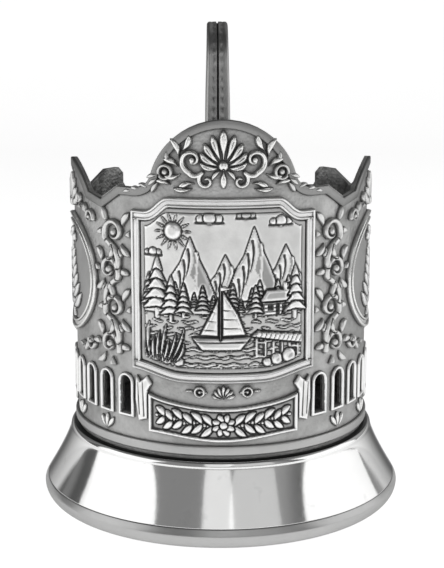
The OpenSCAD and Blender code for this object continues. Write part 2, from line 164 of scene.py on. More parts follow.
def arc_path(centre: Point, radius: float, start: float, end: float, steps: int = 20) -> list[Point]:
    """Points on an arc, whose angles are in degrees."""
    return spiral_path(centre, (radius, radius), start, end, steps)


def spiral_path(centre: Point, radii: Point, start: float, end: float, steps: int = 36) -> list[Point]:
    """Points on a spiral.

    Args:
        centre: The spiral's centre.
        radii: Its first and last radius.
        start: First angle in degrees.
        end: Last angle in degrees.
        steps: Number of steps between them.

    Returns:
        The points in order.
    """
    share = np.linspace(0, 1, steps + 1)
    angles = np.radians(start + (end - start) * share)
    radius = radii[0] + (radii[1] - radii[0]) * share ** 0.8
    return [(centre[0] + r * math.cos(a), centre[1] + r * math.sin(a)) for r, a in zip(radius, angles)]


def bent_path(start: Point, middle: Point, end: Point, steps: int = 14) -> list[Point]:
    """Points on a quadratic curve.

    Args:
        start: First point.
        middle: Control point.
        end: Last point.
        steps: Number of steps between them.

    Returns:
        The points in order.
    """
    points = []
    for t in np.linspace(0, 1, steps + 1):
        weights = ((1 - t) ** 2, 2 * t * (1 - t), t * t)
        points.append(tuple(
            sum(w * p[k] for w, p in zip(weights, (start, middle, end))) for k in range(2)))
    return points


def at(origin: Point, scale: Point, *points: Point) -> list[Point]:
    """Places of points that are counted from an origin in units of a scale."""
    return [(origin[0] + scale[0] * u, origin[1] + scale[1] * z) for u, z in points]


@dataclass
class Shape:
    """A line of changing half width, or a closed outline where there are no half widths."""

    points: Path
    half: Sequence[float] = ()

    def box(self) -> tuple[Array, Array]:
        """Lowest and highest across position and height."""
        points, grow = np.array(self.points), max(self.half, default=0.0)
        return points.min(0) - grow, points.max(0) + grow

    def inside(self, u: Array, z: Array) -> Array:
        """Distance inside the shape's edge, negative outside.

        Args:
            u: Across positions.
            z: Heights.

        Returns:
            The distances.
        """
        best = np.full(u.shape, -FAR)
        held = np.zeros(u.shape, bool)
        closed = not self.half
        points = list(self.points) + list(self.points[:1] if closed else ())
        half = self.half or [0.0] * len(points)
        for a, b, half_a, half_b in zip(points, points[1:], half, half[1:]):
            du, dz = b[0] - a[0], b[1] - a[1]
            span = max(du * du + dz * dz, TINY)
            t = np.clip(((u - a[0]) * du + (z - a[1]) * dz) / span, 0, 1)
            gap = np.hypot(u - a[0] - t * du, z - a[1] - t * dz)
            np.maximum(best, half_a + (half_b - half_a) * t - gap, out=best)
            if closed and dz:
                held ^= ((a[1] > z) != (b[1] > z)) & (u < du * (z - a[1]) / dz + a[0])
        return np.where(held, -best, best)


def rect(left: float, right: float, low: float, high: float) -> Shape:
    """An upright rectangle."""
    return Shape([(left, low), (right, low), (right, high), (left, high)])


def even(path: Path, half: float) -> Shape:
    """A line of one half width."""
    return Shape(path, [half] * len(path))


def disc(centre: Point, radius: float) -> Shape:
    """A round spot."""
    return even([centre, (centre[0] + 1e-3, centre[1])], radius)


def ring(centre: Point, radius: float, half: float) -> Shape:
    """A round line."""
    return even(arc_path(centre, radius, 0, 360, 28), half)


def tapered(path: Path, first: float, last: float) -> Shape:
    """A line that narrows evenly from its first to its last half width."""
    return Shape(path, list(np.linspace(first, last, len(path))))


def leaf(base: Point, length: float, turn: float, half: float, bow: float = 0.0,
         blunt: float = 0.5) -> Shape:
    """A leaf or lobe.

    Args:
        base: Point it grows from.
        length: Its length.
        turn: Direction in degrees, 90 for straight up.
        half: Its greatest half width.
        bow: How far its middle line bends to the left.
        blunt: Place of its greatest width, from 0 at the base to 1 at the tip.

    Returns:
        The leaf.
    """
    way = np.array([math.cos(math.radians(turn)), math.sin(math.radians(turn))])
    side = np.array([-way[1], way[0]])
    tip = np.array(base) + way * length
    middle = np.array(base) + way * length * 0.5 + side * bow * 2
    power = math.log(0.5) / math.log(blunt)
    widths = [max(0.12 * half, half * math.sin(math.pi * (0.04 + 0.92 * t) ** power))
              for t in np.linspace(0, 1, 13)]
    return Shape(bent_path(tuple(base), tuple(middle), tuple(tip), 12), widths)


# Meshes


@dataclass
class Mesh:
    """A closed mesh in metres, and what its finish reads at each point."""

    points: Array
    faces: Sequence[Sequence[int]]
    cavity: Array | float = 0.0
    tone: Array | float = 1.0


def placed(name: str, data: bpy.types.ID) -> bpy.types.Object:
    """Makes an object and puts it into the scene.

    Args:
        name: The object's name.
        data: Its mesh, lamp or camera.

    Returns:
        The object.
    """
    made = bpy.data.objects.new(name, data)
    bpy.context.scene.collection.objects.link(made)
    return made


def piece(name: str, look: str, slot: str, nodes: Sequence[str], *parts: Mesh) -> None:
    """Makes one object of closed meshes, parents it to the holder's body and hides the CAD nodes it stands
    for.

    Args:
        name: The piece's name.
        look: Name of its finish.
        slot: The record's material slot; it is not used.
        nodes: CAD nodes it stands for.
        parts: Its meshes.
    """
    faces: list[list[int]] = []
    count = 0
    for part in parts:
        faces += [[int(i) + count for i in face] for face in part.faces]
        count += len(part.points)
    mesh = bpy.data.meshes.new(name)
    mesh.from_pydata(np.concatenate([part.points for part in parts]).tolist(), [], faces)
    for label in ("cavity", "tone"):
        values = [np.broadcast_to(getattr(part, label), len(part.points)) for part in parts]
        layer = mesh.attributes.new(label, "FLOAT", "POINT")
        layer.data.foreach_set("value", np.concatenate(values).astype(np.float32))
    mesh.validate()
    mesh.polygons.foreach_set("use_smooth", [True] * len(mesh.polygons))
    mesh.set_sharp_from_angle(angle=math.radians(SHARP))
    mesh.materials.append(dressed(look))
    made = placed(name, mesh)
    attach(made, BODY)
    if nodes:
        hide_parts(*nodes)
    LOG.info("%s: %d faces", name, len(mesh.polygons))


def tube_faces(rows: int, size: int, closed: bool = True) -> list[list[int]]:
    """Faces of a tube whose points lie in rings.

    Args:
        rows: Number of rings.
        size: Number of points in each ring.
        closed: Whether the last ring meets the first, or both get a cap.

    Returns:
        The point numbers of each face.
    """
    faces = []
    for i in range(rows if closed else rows - 1):
        j = (i + 1) % rows
        for k in range(size):
            m = (k + 1) % size
            faces.append([i * size + k, j * size + k, j * size + m, i * size + m])
    if not closed:
        faces += [list(range(size)), list(range(rows * size - 1, (rows - 1) * size - 1, -1))]
    return faces


def blurred(values: Array, reach: float) -> Array:
    """Smooths a grid.

    Args:
        values: The grid.
        reach: Spread of the smoothing, in cells.

    Returns:
        The smoothed grid.
    """
    size = max(1, int(math.ceil(2.5 * reach)))
    weights = np.exp(-0.5 * (np.arange(-size, size + 1) / reach) ** 2)
    weights /= weights.sum()
    result = values
    for axis in (0, 1):
        padded = np.pad(result, [(size, size) if k == axis else (0, 0) for k in (0, 1)], mode="edge")
        result = np.zeros(values.shape)
        for k, weight in enumerate(weights):
            window = [slice(None), slice(None)]
            window[axis] = slice(k, k + values.shape[axis])
            result += weight * padded[tuple(window)]
    return result


class Relief:
    """A height field on a patch of the wall, made into one closed mesh."""

    def __init__(self, azimuth: float, box: Box, step: float, mirrored: bool = False) -> None:
        """Lays out the field's grid.

        Args:
            azimuth: Azimuth of the field's middle, in degrees.
            box: Lowest and highest across position and height, in millimetres.
            step: Distance between grid points.
            mirrored: Whether the field is flipped about its middle line and moved to the other side.
        """
        self.flip = -1 if mirrored else 1
        self.azimuth = self.flip * azimuth
        self.step = step
        counts = [int(round((box[k + 1] - box[k]) / step)) + 1 for k in (0, 2)]
        self.u, self.z = np.meshgrid(
            box[0] + step * np.arange(counts[0]), box[2] + step * np.arange(counts[1]), indexing="ij")
        self.edge = np.full(self.u.shape, -FAR)
        self.lift = np.zeros(self.u.shape)
        self.tone = np.ones(self.u.shape)

    def window(self, shape: Shape, margin: float) -> tuple[slice, ...]:
        """Part of the grid round a shape.

        Args:
            shape: The shape.
            margin: Margin round it.

        Returns:
            The slices of the two axes.
        """
        low, high = shape.box()
        first = (self.u[0, 0], self.z[0, 0])
        starts = ((low - margin - first) / self.step).astype(int)
        stops = ((high + margin - first) / self.step).astype(int) + 2
        return tuple(slice(*np.clip(ends, 0, size)) for *ends, size in zip(starts, stops, self.u.shape))

    def put(self, shape: Shape, height: float, soft: float = 0.5, base: float = 0.0, moat: float = 0.0,
            tone: Optional[float] = None, hole: Optional[Shape] = None,
            within: Optional[Shape] = None) -> None:
        """Raises a shape whose edge is rounded.

        Args:
            shape: The shape.
            height: Its height over the seat.
            soft: Width over which its edge is rounded.
            base: Height of its edge.
            moat: Width of the crease pressed round it.
            tone: Brightness of its finish, or none to keep what is there.
            hole: A shape that is left open in it.
            within: An outline that it is cut to.
        """
        part = self.window(shape, 3 * moat + self.step)
        u, z = self.u[part], self.z[part]
        inside = shape.inside(u, z)
        if hole is not None:
            inside = np.minimum(inside, -hole.inside(u, z))
        if within is not None:
            inside = np.minimum(inside, within.inside(u, z))
        if moat:
            press = np.exp(-(np.minimum(inside, 0) / moat) ** 2) * (inside <= 0)
            self.lift[part] *= 1 - 0.85 * press
        t = np.clip(inside / soft, 0, 1)
        rise = base + (height - base) * np.sqrt(np.clip(1 - (1 - t) ** 2, 0, 1))
        held = inside > 0
        self.lift[part] = np.where(held, np.maximum(self.lift[part], rise), self.lift[part])
        self.edge[part] = np.maximum(self.edge[part], inside)
        if tone is not None:
            self.tone[part] = np.where(held, tone, self.tone[part])

    def fade(self, shape: Shape, left: float, right: float) -> None:
        """Fades the finish's brightness inside a shape, from the field's left edge to its right edge."""
        share = (self.u - self.u.min()) / (self.u.max() - self.u.min())
        self.tone = np.where(shape.inside(self.u, self.z) > 0, left + (right - left) * share, self.tone)

    def press(self, shape: Shape, depth: float, soft: float) -> None:
        """Presses a shape into what is there.

        Args:
            shape: The shape.
            depth: Its depth.
            soft: Width over which its edge slopes.
        """
        part = self.window(shape, soft)
        t = np.clip((shape.inside(self.u[part], self.z[part]) + soft) / (2 * soft), 0, 1)
        self.lift[part] = np.maximum(0, self.lift[part] - depth * t * t * (3 - 2 * t))

    def kept_cells(self) -> Array:
        """Finds the cells inside the edge, with no two that meet only at a corner.

        Returns:
            Whether each cell is kept.
        """
        corners = self.edge
        middle = (corners[:-1, :-1] + corners[1:, :-1] + corners[:-1, 1:] + corners[1:, 1:]) / 4
        keep = middle > 0
        for _ in range(8):
            a, b, c, d = keep[:-1, :-1], keep[1:, :-1], keep[:-1, 1:], keep[1:, 1:]
            first = a & d & ~b & ~c
            second = b & c & ~a & ~d
            if not (first.any() or second.any()):
                break
            keep[1:, :-1] |= first
            keep[:-1, :-1] |= second
        return keep

    def mesh(self) -> Mesh:
        """Makes the mesh, with its outer points drawn onto the shapes' edge.

        Returns:
            The mesh.
        """
        keep = self.kept_cells()
        used = sum(np.pad(keep.astype(int), ((i, 1 - i), (j, 1 - j))) for i in (0, 1) for j in (0, 1))
        live = used > 0
        rim = live & (used < 4)
        slope = np.gradient(self.edge, self.step)
        steep = np.maximum(slope[0] ** 2 + slope[1] ** 2, 0.25)
        shift = np.clip(self.edge / steep, -0.8 * self.step, 0.8 * self.step)
        across = self.flip * np.where(rim, self.u - shift * slope[0], self.u)[live]
        height = np.where(rim, self.z - shift * slope[1], self.z)[live]
        lift = np.where(rim, 0.4 * self.lift, self.lift)[live]
        crease = blurred(self.lift, 0.35 / self.step) - self.lift
        cavity = np.where(rim, 0.6, np.clip(crease / 0.12, -1, 1))[live]
        total = len(lift)
        number = np.full(self.u.shape, -1)
        number[live] = np.arange(total)
        i, j = np.nonzero(keep)
        tops = np.stack([number[i, j], number[i + 1, j], number[i + 1, j + 1], number[i, j + 1]], axis=1)
        faces = [tops, tops[:, ::-1] + total]
        padded = np.pad(keep, 1)
        for di, dj, a, b in ((0, -1, (0, 0), (1, 0)), (1, 0, (1, 0), (1, 1)),
                             (0, 1, (1, 1), (0, 1)), (-1, 0, (0, 1), (0, 0))):
            beside = padded[1 + di:padded.shape[0] - 1 + di, 1 + dj:padded.shape[1] - 1 + dj]
            p, q = np.nonzero(keep & ~beside)
            first, second = number[p + a[0], q + a[1]], number[p + b[0], q + b[1]]
            faces.append(np.stack([first + total, second + total, second, first], axis=1))
        points = [on_wall(self.azimuth, across, height, up) for up in (SKIRT + lift, SUNK)]
        return Mesh(np.concatenate(points), np.concatenate(faces)[:, ::self.flip].tolist(),
                    np.concatenate([cavity, np.ones(total)]), np.tile(self.tone[live], 2))


def swept_on_wall(azimuth: float, path: Path, profile: Path) -> Mesh:
    """Sweeps a profile along a flat, closed path that is wrapped round the wall.

    Args:
        azimuth: Azimuth of the flat field's middle, in degrees.
        path: The path, as across positions and heights.
        profile: Offsets to the path's left and heights over the seat, in a closed loop.

    Returns:
        The mesh.
    """
    line = np.array(path, float)
    ways = [unit(line - np.roll(line, 1, axis=0)), unit(np.roll(line, -1, axis=0) - line)]
    before, after = [np.stack([-way[:, 1], way[:, 0]], axis=1) for way in ways]
    mitre = unit(before + after)
    mitre /= np.maximum((mitre * before).sum(1), 0.5)[:, None]
    places = [(line + mitre * offset, lift) for offset, lift in profile]
    points = np.stack([on_wall(azimuth, place[:, 0], place[:, 1], lift) for place, lift in places], axis=1)
    high = max(lift for _, lift in profile)
    cavity = np.tile([0.6 - 1.3 * max(lift, 0) / high for _, lift in profile], len(line))
    return Mesh(points.reshape(-1, 3), tube_faces(len(line), len(profile)), cavity)


def turned(profile: Path, steps: int = 288, creases: Sequence[float] = (0.0,)) -> Mesh:
    """Turns a closed profile round the cup's axis.

    Args:
        profile: Radii and heights in a closed loop, with the outer side from below upward.
        steps: Number of steps round the axis.
        creases: How deep in a crease the profile's points lie, from 0 to 1.

    Returns:
        The mesh.
    """
    radius, height = np.array(profile, float).T
    turn = (2 * math.pi * np.arange(steps) / steps)[:, None]
    height = np.broadcast_to(height, (steps, len(profile)))
    points = np.stack([np.sin(turn) * radius, -np.cos(turn) * radius, height], axis=-1) * MM
    cavity = np.broadcast_to(creases, (steps, len(profile))).reshape(-1)
    return Mesh(points.reshape(-1, 3), tube_faces(steps, len(profile)), cavity)


def round_bead(width: float, height: float, left: float = 0.0, steps: int = 8) -> list[Point]:
    """Profile of a half-round bead that stands on the seat.

    Args:
        width: Its width.
        height: Its height.
        left: Offset of its right edge from the path.
        steps: Number of steps over its top.

    Returns:
        The closed profile.
    """
    loop = [(left, SUNK), (left, BEAD_FOOT)]
    for k in range(1, steps):
        turn = math.pi * k / steps
        rise = BEAD_FOOT + (height - BEAD_FOOT) * math.sin(turn)
        loop.append((left + width / 2 * (1 - math.cos(turn)), rise))
    return loop + [(left + width, BEAD_FOOT), (left + width, SUNK)]


def double_bead(azimuth: float, path: Path, height: float) -> list[Mesh]:
    """Makes a frame of two beads with a flat groove between them.

    Args:
        azimuth: Azimuth of the frame's middle, in degrees.
        path: Its outer edge.
        height: Height of the outer bead.

    Returns:
        Its meshes.
    """
    groove = [(0.7, SUNK), (0.7, 0.5), (1.55, 0.5), (1.55, SUNK)]
    return [swept_on_wall(azimuth, path, profile)
            for profile in (round_bead(0.75, height), round_bead(0.7, 0.95, 1.5), groove)]


# Finishes


class Sheen(Enum):
    """How a metal finish shines."""

    POLISHED = "polished"
    SATIN = "satin"
    CHASED = "chased"


@dataclass(frozen=True)
class Finish:
    """A metal finish with blackened creases and worn ridges, its colours as grey and blue; the creases'
    blackening is patina, and on the foot a painted shade.
    """

    name: str
    bright: Point
    ground: Point
    recess: float
    sheen: Sheen
    roughness: tuple[float, float]
    grain: float
    bump: float
    edge: float
    crease_reach: float
    crease_weight: float
    inner_darkening: float = 0.0


FINISHES = {
    "wall": Finish("blackened_silver_wall", (0.50, 0.495), (0.29, 0.286), 0.022, Sheen.CHASED,
                   (0.32, 0.54), 1500, 0.5, 0.4, 1.2, 0.69, 0.6),
    "rim": Finish("worn_rim_silver", (0.25, 0.247), (0.18, 0.178), 0.022, Sheen.SATIN,
                  (0.38, 0.56), 1800, 0.3, 0.3, 1.0, 0.7),
    "band": Finish("worn_band_silver", (0.48, 0.475), (0.33, 0.326), 0.022, Sheen.SATIN,
                   (0.30, 0.50), 1800, 0.3, 0.4, 1.0, 0.7),
    "raised": Finish("raised_silver_ornament", (0.76, 0.75), (0.46, 0.455), 0.022, Sheen.SATIN,
                     (0.22, 0.42), 2200, 0.25, 0.5, 1.1, 0.8),
    "worn": Finish("worn_silver_scrollwork", (0.60, 0.594), (0.40, 0.396), 0.03, Sheen.SATIN,
                   (0.30, 0.50), 2200, 0.25, 0.4, 1.0, 0.62),
    "picture": Finish("bright_chased_picture", (0.86, 0.85), (0.13, 0.129), 0.018, Sheen.SATIN,
                      (0.28, 0.48), 2400, 0.25, 0.6, 1.1, 0.85),
    # The handle's silver, darker than the wall's, is a painted shade for the shadow on its faces.
    "handle": Finish("worn_handle_silver_painted_shade", (0.38, 0.376), (0.23, 0.228), 0.018, Sheen.SATIN,
                     (0.24, 0.46), 1800, 0.25, 0.5, 1.2, 0.8),
    "foot": Finish("polished_foot_silver", (0.85, 0.845), (0.75, 0.745), 0.01, Sheen.POLISHED,
                   (0.05, 0.13), 900, 0.02, 0.12, 0.4, 1.0),
    # The lip's base colour, much darker than the foot's, is a painted shade: it dims the lip's reflection
    # of the white floor.
    "lip": Finish("polished_lip_silver_painted_shade", (0.47, 0.467), (0.34, 0.338), 0.02, Sheen.POLISHED,
                  (0.24, 0.38), 900, 0.04, 0.6, 0.3, 0.4),
}


class Graph:
    """Writes a node tree."""

    def __init__(self, tree: bpy.types.NodeTree) -> None:
        """Empties the tree."""
        self.tree = tree
        tree.nodes.clear()

    def feed(self, socket: Socket, source: object) -> None:
        """Links an input to a source, or sets its value.

        Args:
            socket: The input.
            source: An output, or a value.
        """
        if isinstance(source, Socket):
            self.tree.links.new(source, socket)
        else:
            socket.default_value = source

    def node(self, kind: str, *sources: object, **values: object) -> bpy.types.Node:
        """Adds a node.

        Args:
            kind: The node's type.
            sources: Sources or values of its first inputs.
            values: Its settings and its inputs' sources or values, with _ for a blank.

        Returns:
            The node.
        """
        made = self.tree.nodes.new(kind)
        for key, value in values.items():
            label = key.replace("_", " ").lower()
            sockets = [s for s in made.inputs if s.name.lower() == label and s.enabled]
            if hasattr(made, key) and not sockets:
                setattr(made, key, value)
            else:
                self.feed(sockets[0], value)
        for socket, source in zip(made.inputs, sources):
            self.feed(socket, source)
        return made

    def math(self, way: str, *sources: object, clamp: bool = False) -> Socket:
        """Adds a sum of numbers, and gives its result."""
        return self.node("ShaderNodeMath", *sources, operation=way, use_clamp=clamp).outputs[0]

    def dot(self, first: Socket, second: Socket) -> Socket:
        """Adds a dot product, and gives its result."""
        return self.node("ShaderNodeVectorMath", first, second, operation="DOT_PRODUCT").outputs["Value"]

    def noise(self, place: Socket, scale: float, detail: float,
              roughness: float) -> Socket:
        """Adds a noise, and gives its value."""
        return self.node("ShaderNodeTexNoise", Vector=place, Scale=scale, Detail=detail,
                         Roughness=roughness).outputs[0]

    def blend(self, share: Socket, first: object, second: object) -> Socket:
        """Adds a blend of two colours.

        Args:
            share: Share of the second colour.
            first: First colour, or its socket.
            second: Second colour, or its socket.

        Returns:
            The blend's socket.
        """
        made = self.node("ShaderNodeMix", share, data_type="RGBA")
        for socket, source in ((made.inputs[6], first), (made.inputs[7], second)):
            self.feed(socket, (*source, 1) if isinstance(source, tuple) else source)
        return made.outputs[2]

    def spread(self, source: Socket, low: float, high: float, to_low: float = 0.0,
               to_high: float = 1.0) -> Socket:
        """Maps a range of numbers onto another, and stays within it.

        Args:
            source: The number's socket.
            low: Start of the range.
            high: End of the range.
            to_low: What the start becomes.
            to_high: What the end becomes.

        Returns:
            The result's socket.
        """
        return self.node("ShaderNodeMapRange", Value=source, From_Min=low, From_Max=high,
                         To_Min=to_low, To_Max=to_high).outputs[0]


def silver(grey: float, blue: float, gain: float = 1.0) -> tuple[float, float, float]:
    """A metal's colour, brightened up to white."""
    return min(1.0, gain * grey), min(1.0, gain * grey), min(1.0, gain * blue)


@functools.cache
def dressed(look: str) -> Material:
    """Writes a finish as a procedural material, once.

    Args:
        look: The finish's name.

    Returns:
        The material.
    """
    finish = FINISHES[look]
    recess = (finish.recess,) * 3
    material = bpy.data.materials.new(finish.name)
    material.use_nodes = True
    g = Graph(material.node_tree)
    place = g.node("ShaderNodeTexCoord").outputs["Object"]
    clouds = g.noise(place, 210.0, 4.0, 0.6)
    stain = g.noise(place, 55.0, 3.0, 0.55)
    grain = g.noise(place, finish.grain, 3.0, 0.6)
    crease = g.node("ShaderNodeAttribute", attribute_name="cavity").outputs["Fac"]
    shade = g.node("ShaderNodeAmbientOcclusion", samples=8, Distance=finish.crease_reach * MM).outputs
    # Blackened creases: patina in the hollows that occlusion and the cavity attribute find, and on the foot
    # a painted shade in the groove under the base band.
    patina_and_shade = g.math("MAXIMUM", g.spread(shade["AO"], 0.92, 0.35), g.spread(crease, 0.05, 0.75))
    ragged = g.math("MULTIPLY_ADD", g.math("SUBTRACT", clouds, 0.5), 0.55, patina_and_shade)
    patina_and_shade = g.math("MULTIPLY", g.spread(ragged, 0.06, 0.86), finish.crease_weight)
    rounded = g.node("ShaderNodeBevel", samples=4, Radius=0.18 * MM).outputs[0]
    straight = g.node("ShaderNodeNewGeometry").outputs["Normal"]
    corner = g.spread(g.dot(rounded, straight), 0.985, 0.86)
    worn = g.math("MAXIMUM", corner, g.spread(crease, -0.1, -0.7))
    share = g.spread(g.math("ADD", clouds, g.math("MULTIPLY", stain, 0.6)), 0.55, 1.05)
    if finish.sheen is not Sheen.CHASED:
        tone = g.node("ShaderNodeAttribute", attribute_name="tone").outputs["Fac"]
        share = g.math("MULTIPLY", tone, g.spread(share, 0.0, 1.0, 0.72, 1.0))
    face = g.blend(share, silver(*finish.ground), silver(*finish.bright))
    face = g.blend(g.math("MULTIPLY", worn, 0.6), face, silver(*finish.bright, 1.25))
    color = g.blend(patina_and_shade, face, recess)
    # Darkens the wall's inner side towards the recess colour in cloudy patches.
    if finish.inner_darkening:
        outward = g.node("ShaderNodeVectorMath", place, (1, 1, 0), operation="MULTIPLY").outputs[0]
        inward = g.spread(g.dot(outward, straight), 0.0, -0.02)
        inner_dark = g.math("MULTIPLY", inward, g.spread(clouds, 0.34, 0.64, finish.inner_darkening, 0.0))
        color = g.blend(inner_dark, color, recess)
    rough_low, rough_high = finish.roughness
    rough = g.math("MULTIPLY_ADD", grain, rough_high - rough_low, rough_low)
    rough = g.math("MULTIPLY_ADD", patina_and_shade, 0.22, rough)
    rough = g.math("SUBTRACT", rough, g.math("MULTIPLY", worn, 0.06), clamp=True)
    relief = g.math("MULTIPLY_ADD", clouds, 0.5, grain)
    if finish.sheen is Sheen.CHASED:
        punched = g.node("ShaderNodeTexVoronoi", Vector=place, Scale=1250.0, Randomness=0.9).outputs
        relief = g.math("ADD", relief, g.math("MULTIPLY", punched["Distance"], 1.3))
    bump = g.node("ShaderNodeBump", Strength=finish.bump, Distance=0.12 * MM, Height=relief, Normal=rounded)
    shader = g.node("ShaderNodeBsdfPrincipled", Metallic=g.spread(patina_and_shade, 0.0, 1.0, 1.0, 0.35),
                    Base_Color=color, Roughness=rough, Normal=bump.outputs[0],
                    Specular_Tint=(finish.edge, finish.edge, finish.edge, 1))
    g.node("ShaderNodeOutputMaterial", Surface=shader.outputs[0])
    return material


# Sub-assemblies


@dataclass
class Cup:
    """The wall with its rim, mouldings, floor and rear seam strip."""

    rim_w: float = 1.9
    rim_lift: float = 0.6
    band_z: float = 19.4
    band_h: float = 2.2
    band_t: float = 0.65
    band_edge: float = 0.4
    seam_half: float = 2.4
    seam_low: float = 40.8
    seam_high: float = 53.7

    def rim_path(self) -> list[Point]:
        """The rim's outline from the front to the back on the right side.

        Returns:
            Arc lengths from the front and heights.
        """
        dome_z = CUP.crest_z - CUP.crest_r
        fillet_z = CUP.shoulder_z + CUP.fillet_r
        fillet_x = math.sqrt((CUP.crest_r + CUP.fillet_r) ** 2 - (fillet_z - dome_z) ** 2)
        lean = math.degrees(math.atan2(fillet_z - dome_z, fillet_x))
        flat = arc_path((0, dome_z), CUP.crest_r, 90, lean, 24)
        flat += arc_path((fillet_x, fillet_z), CUP.fillet_r, 180 + lean, 270, 8)[1:]
        path = [(math.degrees(math.asin(x / CUP.wall_r)), z) for x, z in flat]
        path += [(CUP.notch_az - CUP.notch_slope_az, CUP.shoulder_z), (CUP.notch_az, CUP.notch_z)]
        side_z = CUP.side_crest_z - CUP.side_crest_r
        start = math.degrees(math.asin((CUP.notch_z + 1 - side_z) / CUP.side_crest_r))
        path += [(CUP.side_az + math.degrees(math.asin(x / CUP.wall_r)), z)
                 for x, z in arc_path((0, side_z), CUP.side_crest_r, 180 - start, start, 24)]
        rear_notch = 2 * CUP.side_az - CUP.notch_az
        rear_top = rear_notch + 0.6 * (CUP.rear_drop_az - rear_notch)
        path += [(rear_notch, CUP.rear_notch_z), (rear_top, CUP.rear_shoulder_z),
                 (CUP.rear_drop_az - 2.5, CUP.rear_shoulder_z),
                 (CUP.rear_drop_az, CUP.rear_shoulder_z - 1.5),
                 (CUP.rear_drop_az, CUP.rim_z + CUP.rear_foot_rise),
                 (CUP.rear_foot_az, CUP.rim_z), (180.0, CUP.rim_z)]
        return [(arc_length(azimuth), z) for azimuth, z in path]

    def build(self) -> None:
        """Makes the cup's pieces, and dresses the wall and the floor."""
        for node in ("wall_band", "floor_pan"):
            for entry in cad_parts[node].material_slots:
                entry.material = dressed("wall")
        right = self.rim_path()
        loop = [(-u, z) for u, z in right[:0:-1]] + right
        wide, lift = self.rim_w, self.rim_lift
        profile = [(0.0, SUNK), (0.0, 0.6 * lift), (0.08, 0.87 * lift), (0.25, lift),
                   (wide - 0.3, lift), (wide - 0.1, 0.8 * lift), (wide, 0.4 * lift), (wide, SUNK)]
        piece("rim_band", "rim", "blackened_silver", (), swept_on_wall(0, loop[-2::-1], profile))
        edge_r = CUP.seat_r + self.band_t - self.band_edge
        section = [(CUP.seat_r, self.band_z)]
        for inset, start in ((self.band_edge, -90), (self.band_h - self.band_edge, 0)):
            section += arc_path((edge_r, self.band_z + inset), self.band_edge, start, start + 90, 5)
        section += [(CUP.seat_r, self.band_z + self.band_h)]
        piece("base_band", "band", "raised_silver", ["base_moulding"], turned(section))
        half, low, high = self.seam_half, self.seam_low, self.seam_high
        strip = Relief(180, (-half, half, low, high), 0.2)
        strip.put(rect(-half, half, low, high), 0.5, 0.7, 0.2)
        for k in range(5):
            strip.put(leaf((0, low + 0.8 + half * k), 2.6, 90, 0.8), 0.85, 0.6, moat=0.2)
        piece("seam_strip", "raised", "raised_silver", ["rear_seam_strip"], strip.mesh())


@dataclass
class Foot:
    """The polished spreading foot and its rolled lip."""

    radius: float = 43.1
    lip_h: float = 5.1
    sheet: float = 0.8
    flange_r: float = 28.0
    shoulder_r: float = 1.4
    shoulder_out: float = 1.9
    roll_r: float = 3.4
    rest_w: float = 2.0
    ledge: float = 0.8
    groove: float = 0.17
    steps: int = 360

    def build(self) -> None:
        """Makes the foot's pieces."""
        edge_r = CUP.wall_r + self.shoulder_out
        centre = (edge_r - self.shoulder_r, CUP.foot_h - self.shoulder_r)
        top = (edge_r, CUP.foot_h - self.shoulder_r - 0.1)
        middle = (edge_r + 1.1, CUP.foot_h - 4 * self.shoulder_r)
        low = (self.radius - self.ledge, self.lip_h)
        flank = bent_path(top, middle, low, 40)
        loop = [(self.flange_r, CUP.foot_h)] + arc_path(centre, self.shoulder_r, 90, 0, 10) + flank
        loop += [(r - self.sheet * 1.1, z) for r, z in flank[::-1]]
        loop += arc_path(centre, self.shoulder_r - self.sheet, 0, 90, 5)
        loop += [(self.flange_r, CUP.foot_h - self.sheet)]
        # The flange top under the base band gets a full crease value, which paints a dark shade line into
        # the groove between the band and the foot.
        high = CUP.foot_h - 0.12 * self.shoulder_r
        creases = [1.0 if z > high else 0.0 for _, z in loop]
        piece("foot_flank", "foot", "polished_foot", ["foot_shell"],
              turned(loop[::-1], self.steps, creases[::-1]))
        centre = (self.radius - self.roll_r, self.roll_r)
        fall = (middle[1] - low[1]) / (low[0] - middle[0])
        start = (low[0] + 0.5 * self.groove, low[1] - self.groove)
        bulge = (self.radius, start[1] - fall * (self.radius - start[0]))
        loop = [(centre[0] - self.rest_w, 0.0)] + arc_path(centre, self.roll_r, -90, 0, 16)
        loop += bent_path((self.radius, self.roll_r), bulge, start, 14)[1:]
        loop += [(low[0] - 0.1, low[1] - 0.4 * self.groove), (self.radius - 2, low[1] - 0.02)]
        loop += arc_path(centre, self.roll_r - 1, 0, -90, 8) + [(centre[0] - self.rest_w, 1.0)]
        piece("rolled_lip", "lip", "polished_foot", ["foot_lip"], turned(loop, self.steps))


def frame_outline(inset: float) -> list[Point]:
    """Outline of the front frame.

    Args:
        inset: How far inside the frame's edge it runs.

    Returns:
        Arc lengths from the middle and heights, to the right along the bottom first.
    """
    half = arc_length(CUP.frame_az) - inset
    top, bottom = [], []
    for t in np.linspace(-1, 1, 61):
        u = half * t
        az = math.degrees(abs(u) / CUP.seat_r)
        arch = ease((CUP.arch_start_az - az) / (CUP.arch_start_az - CUP.arch_full_az))
        rise = ease((az - CUP.low_start_az) / (CUP.frame_az - CUP.low_start_az))
        top.append((u, CUP.frame_corner_z + CUP.frame_arch_rise * arch - inset))
        bottom.append((u, CUP.frame_low_z + CUP.frame_low_rise * rise + inset))
    return bottom + top[::-1]


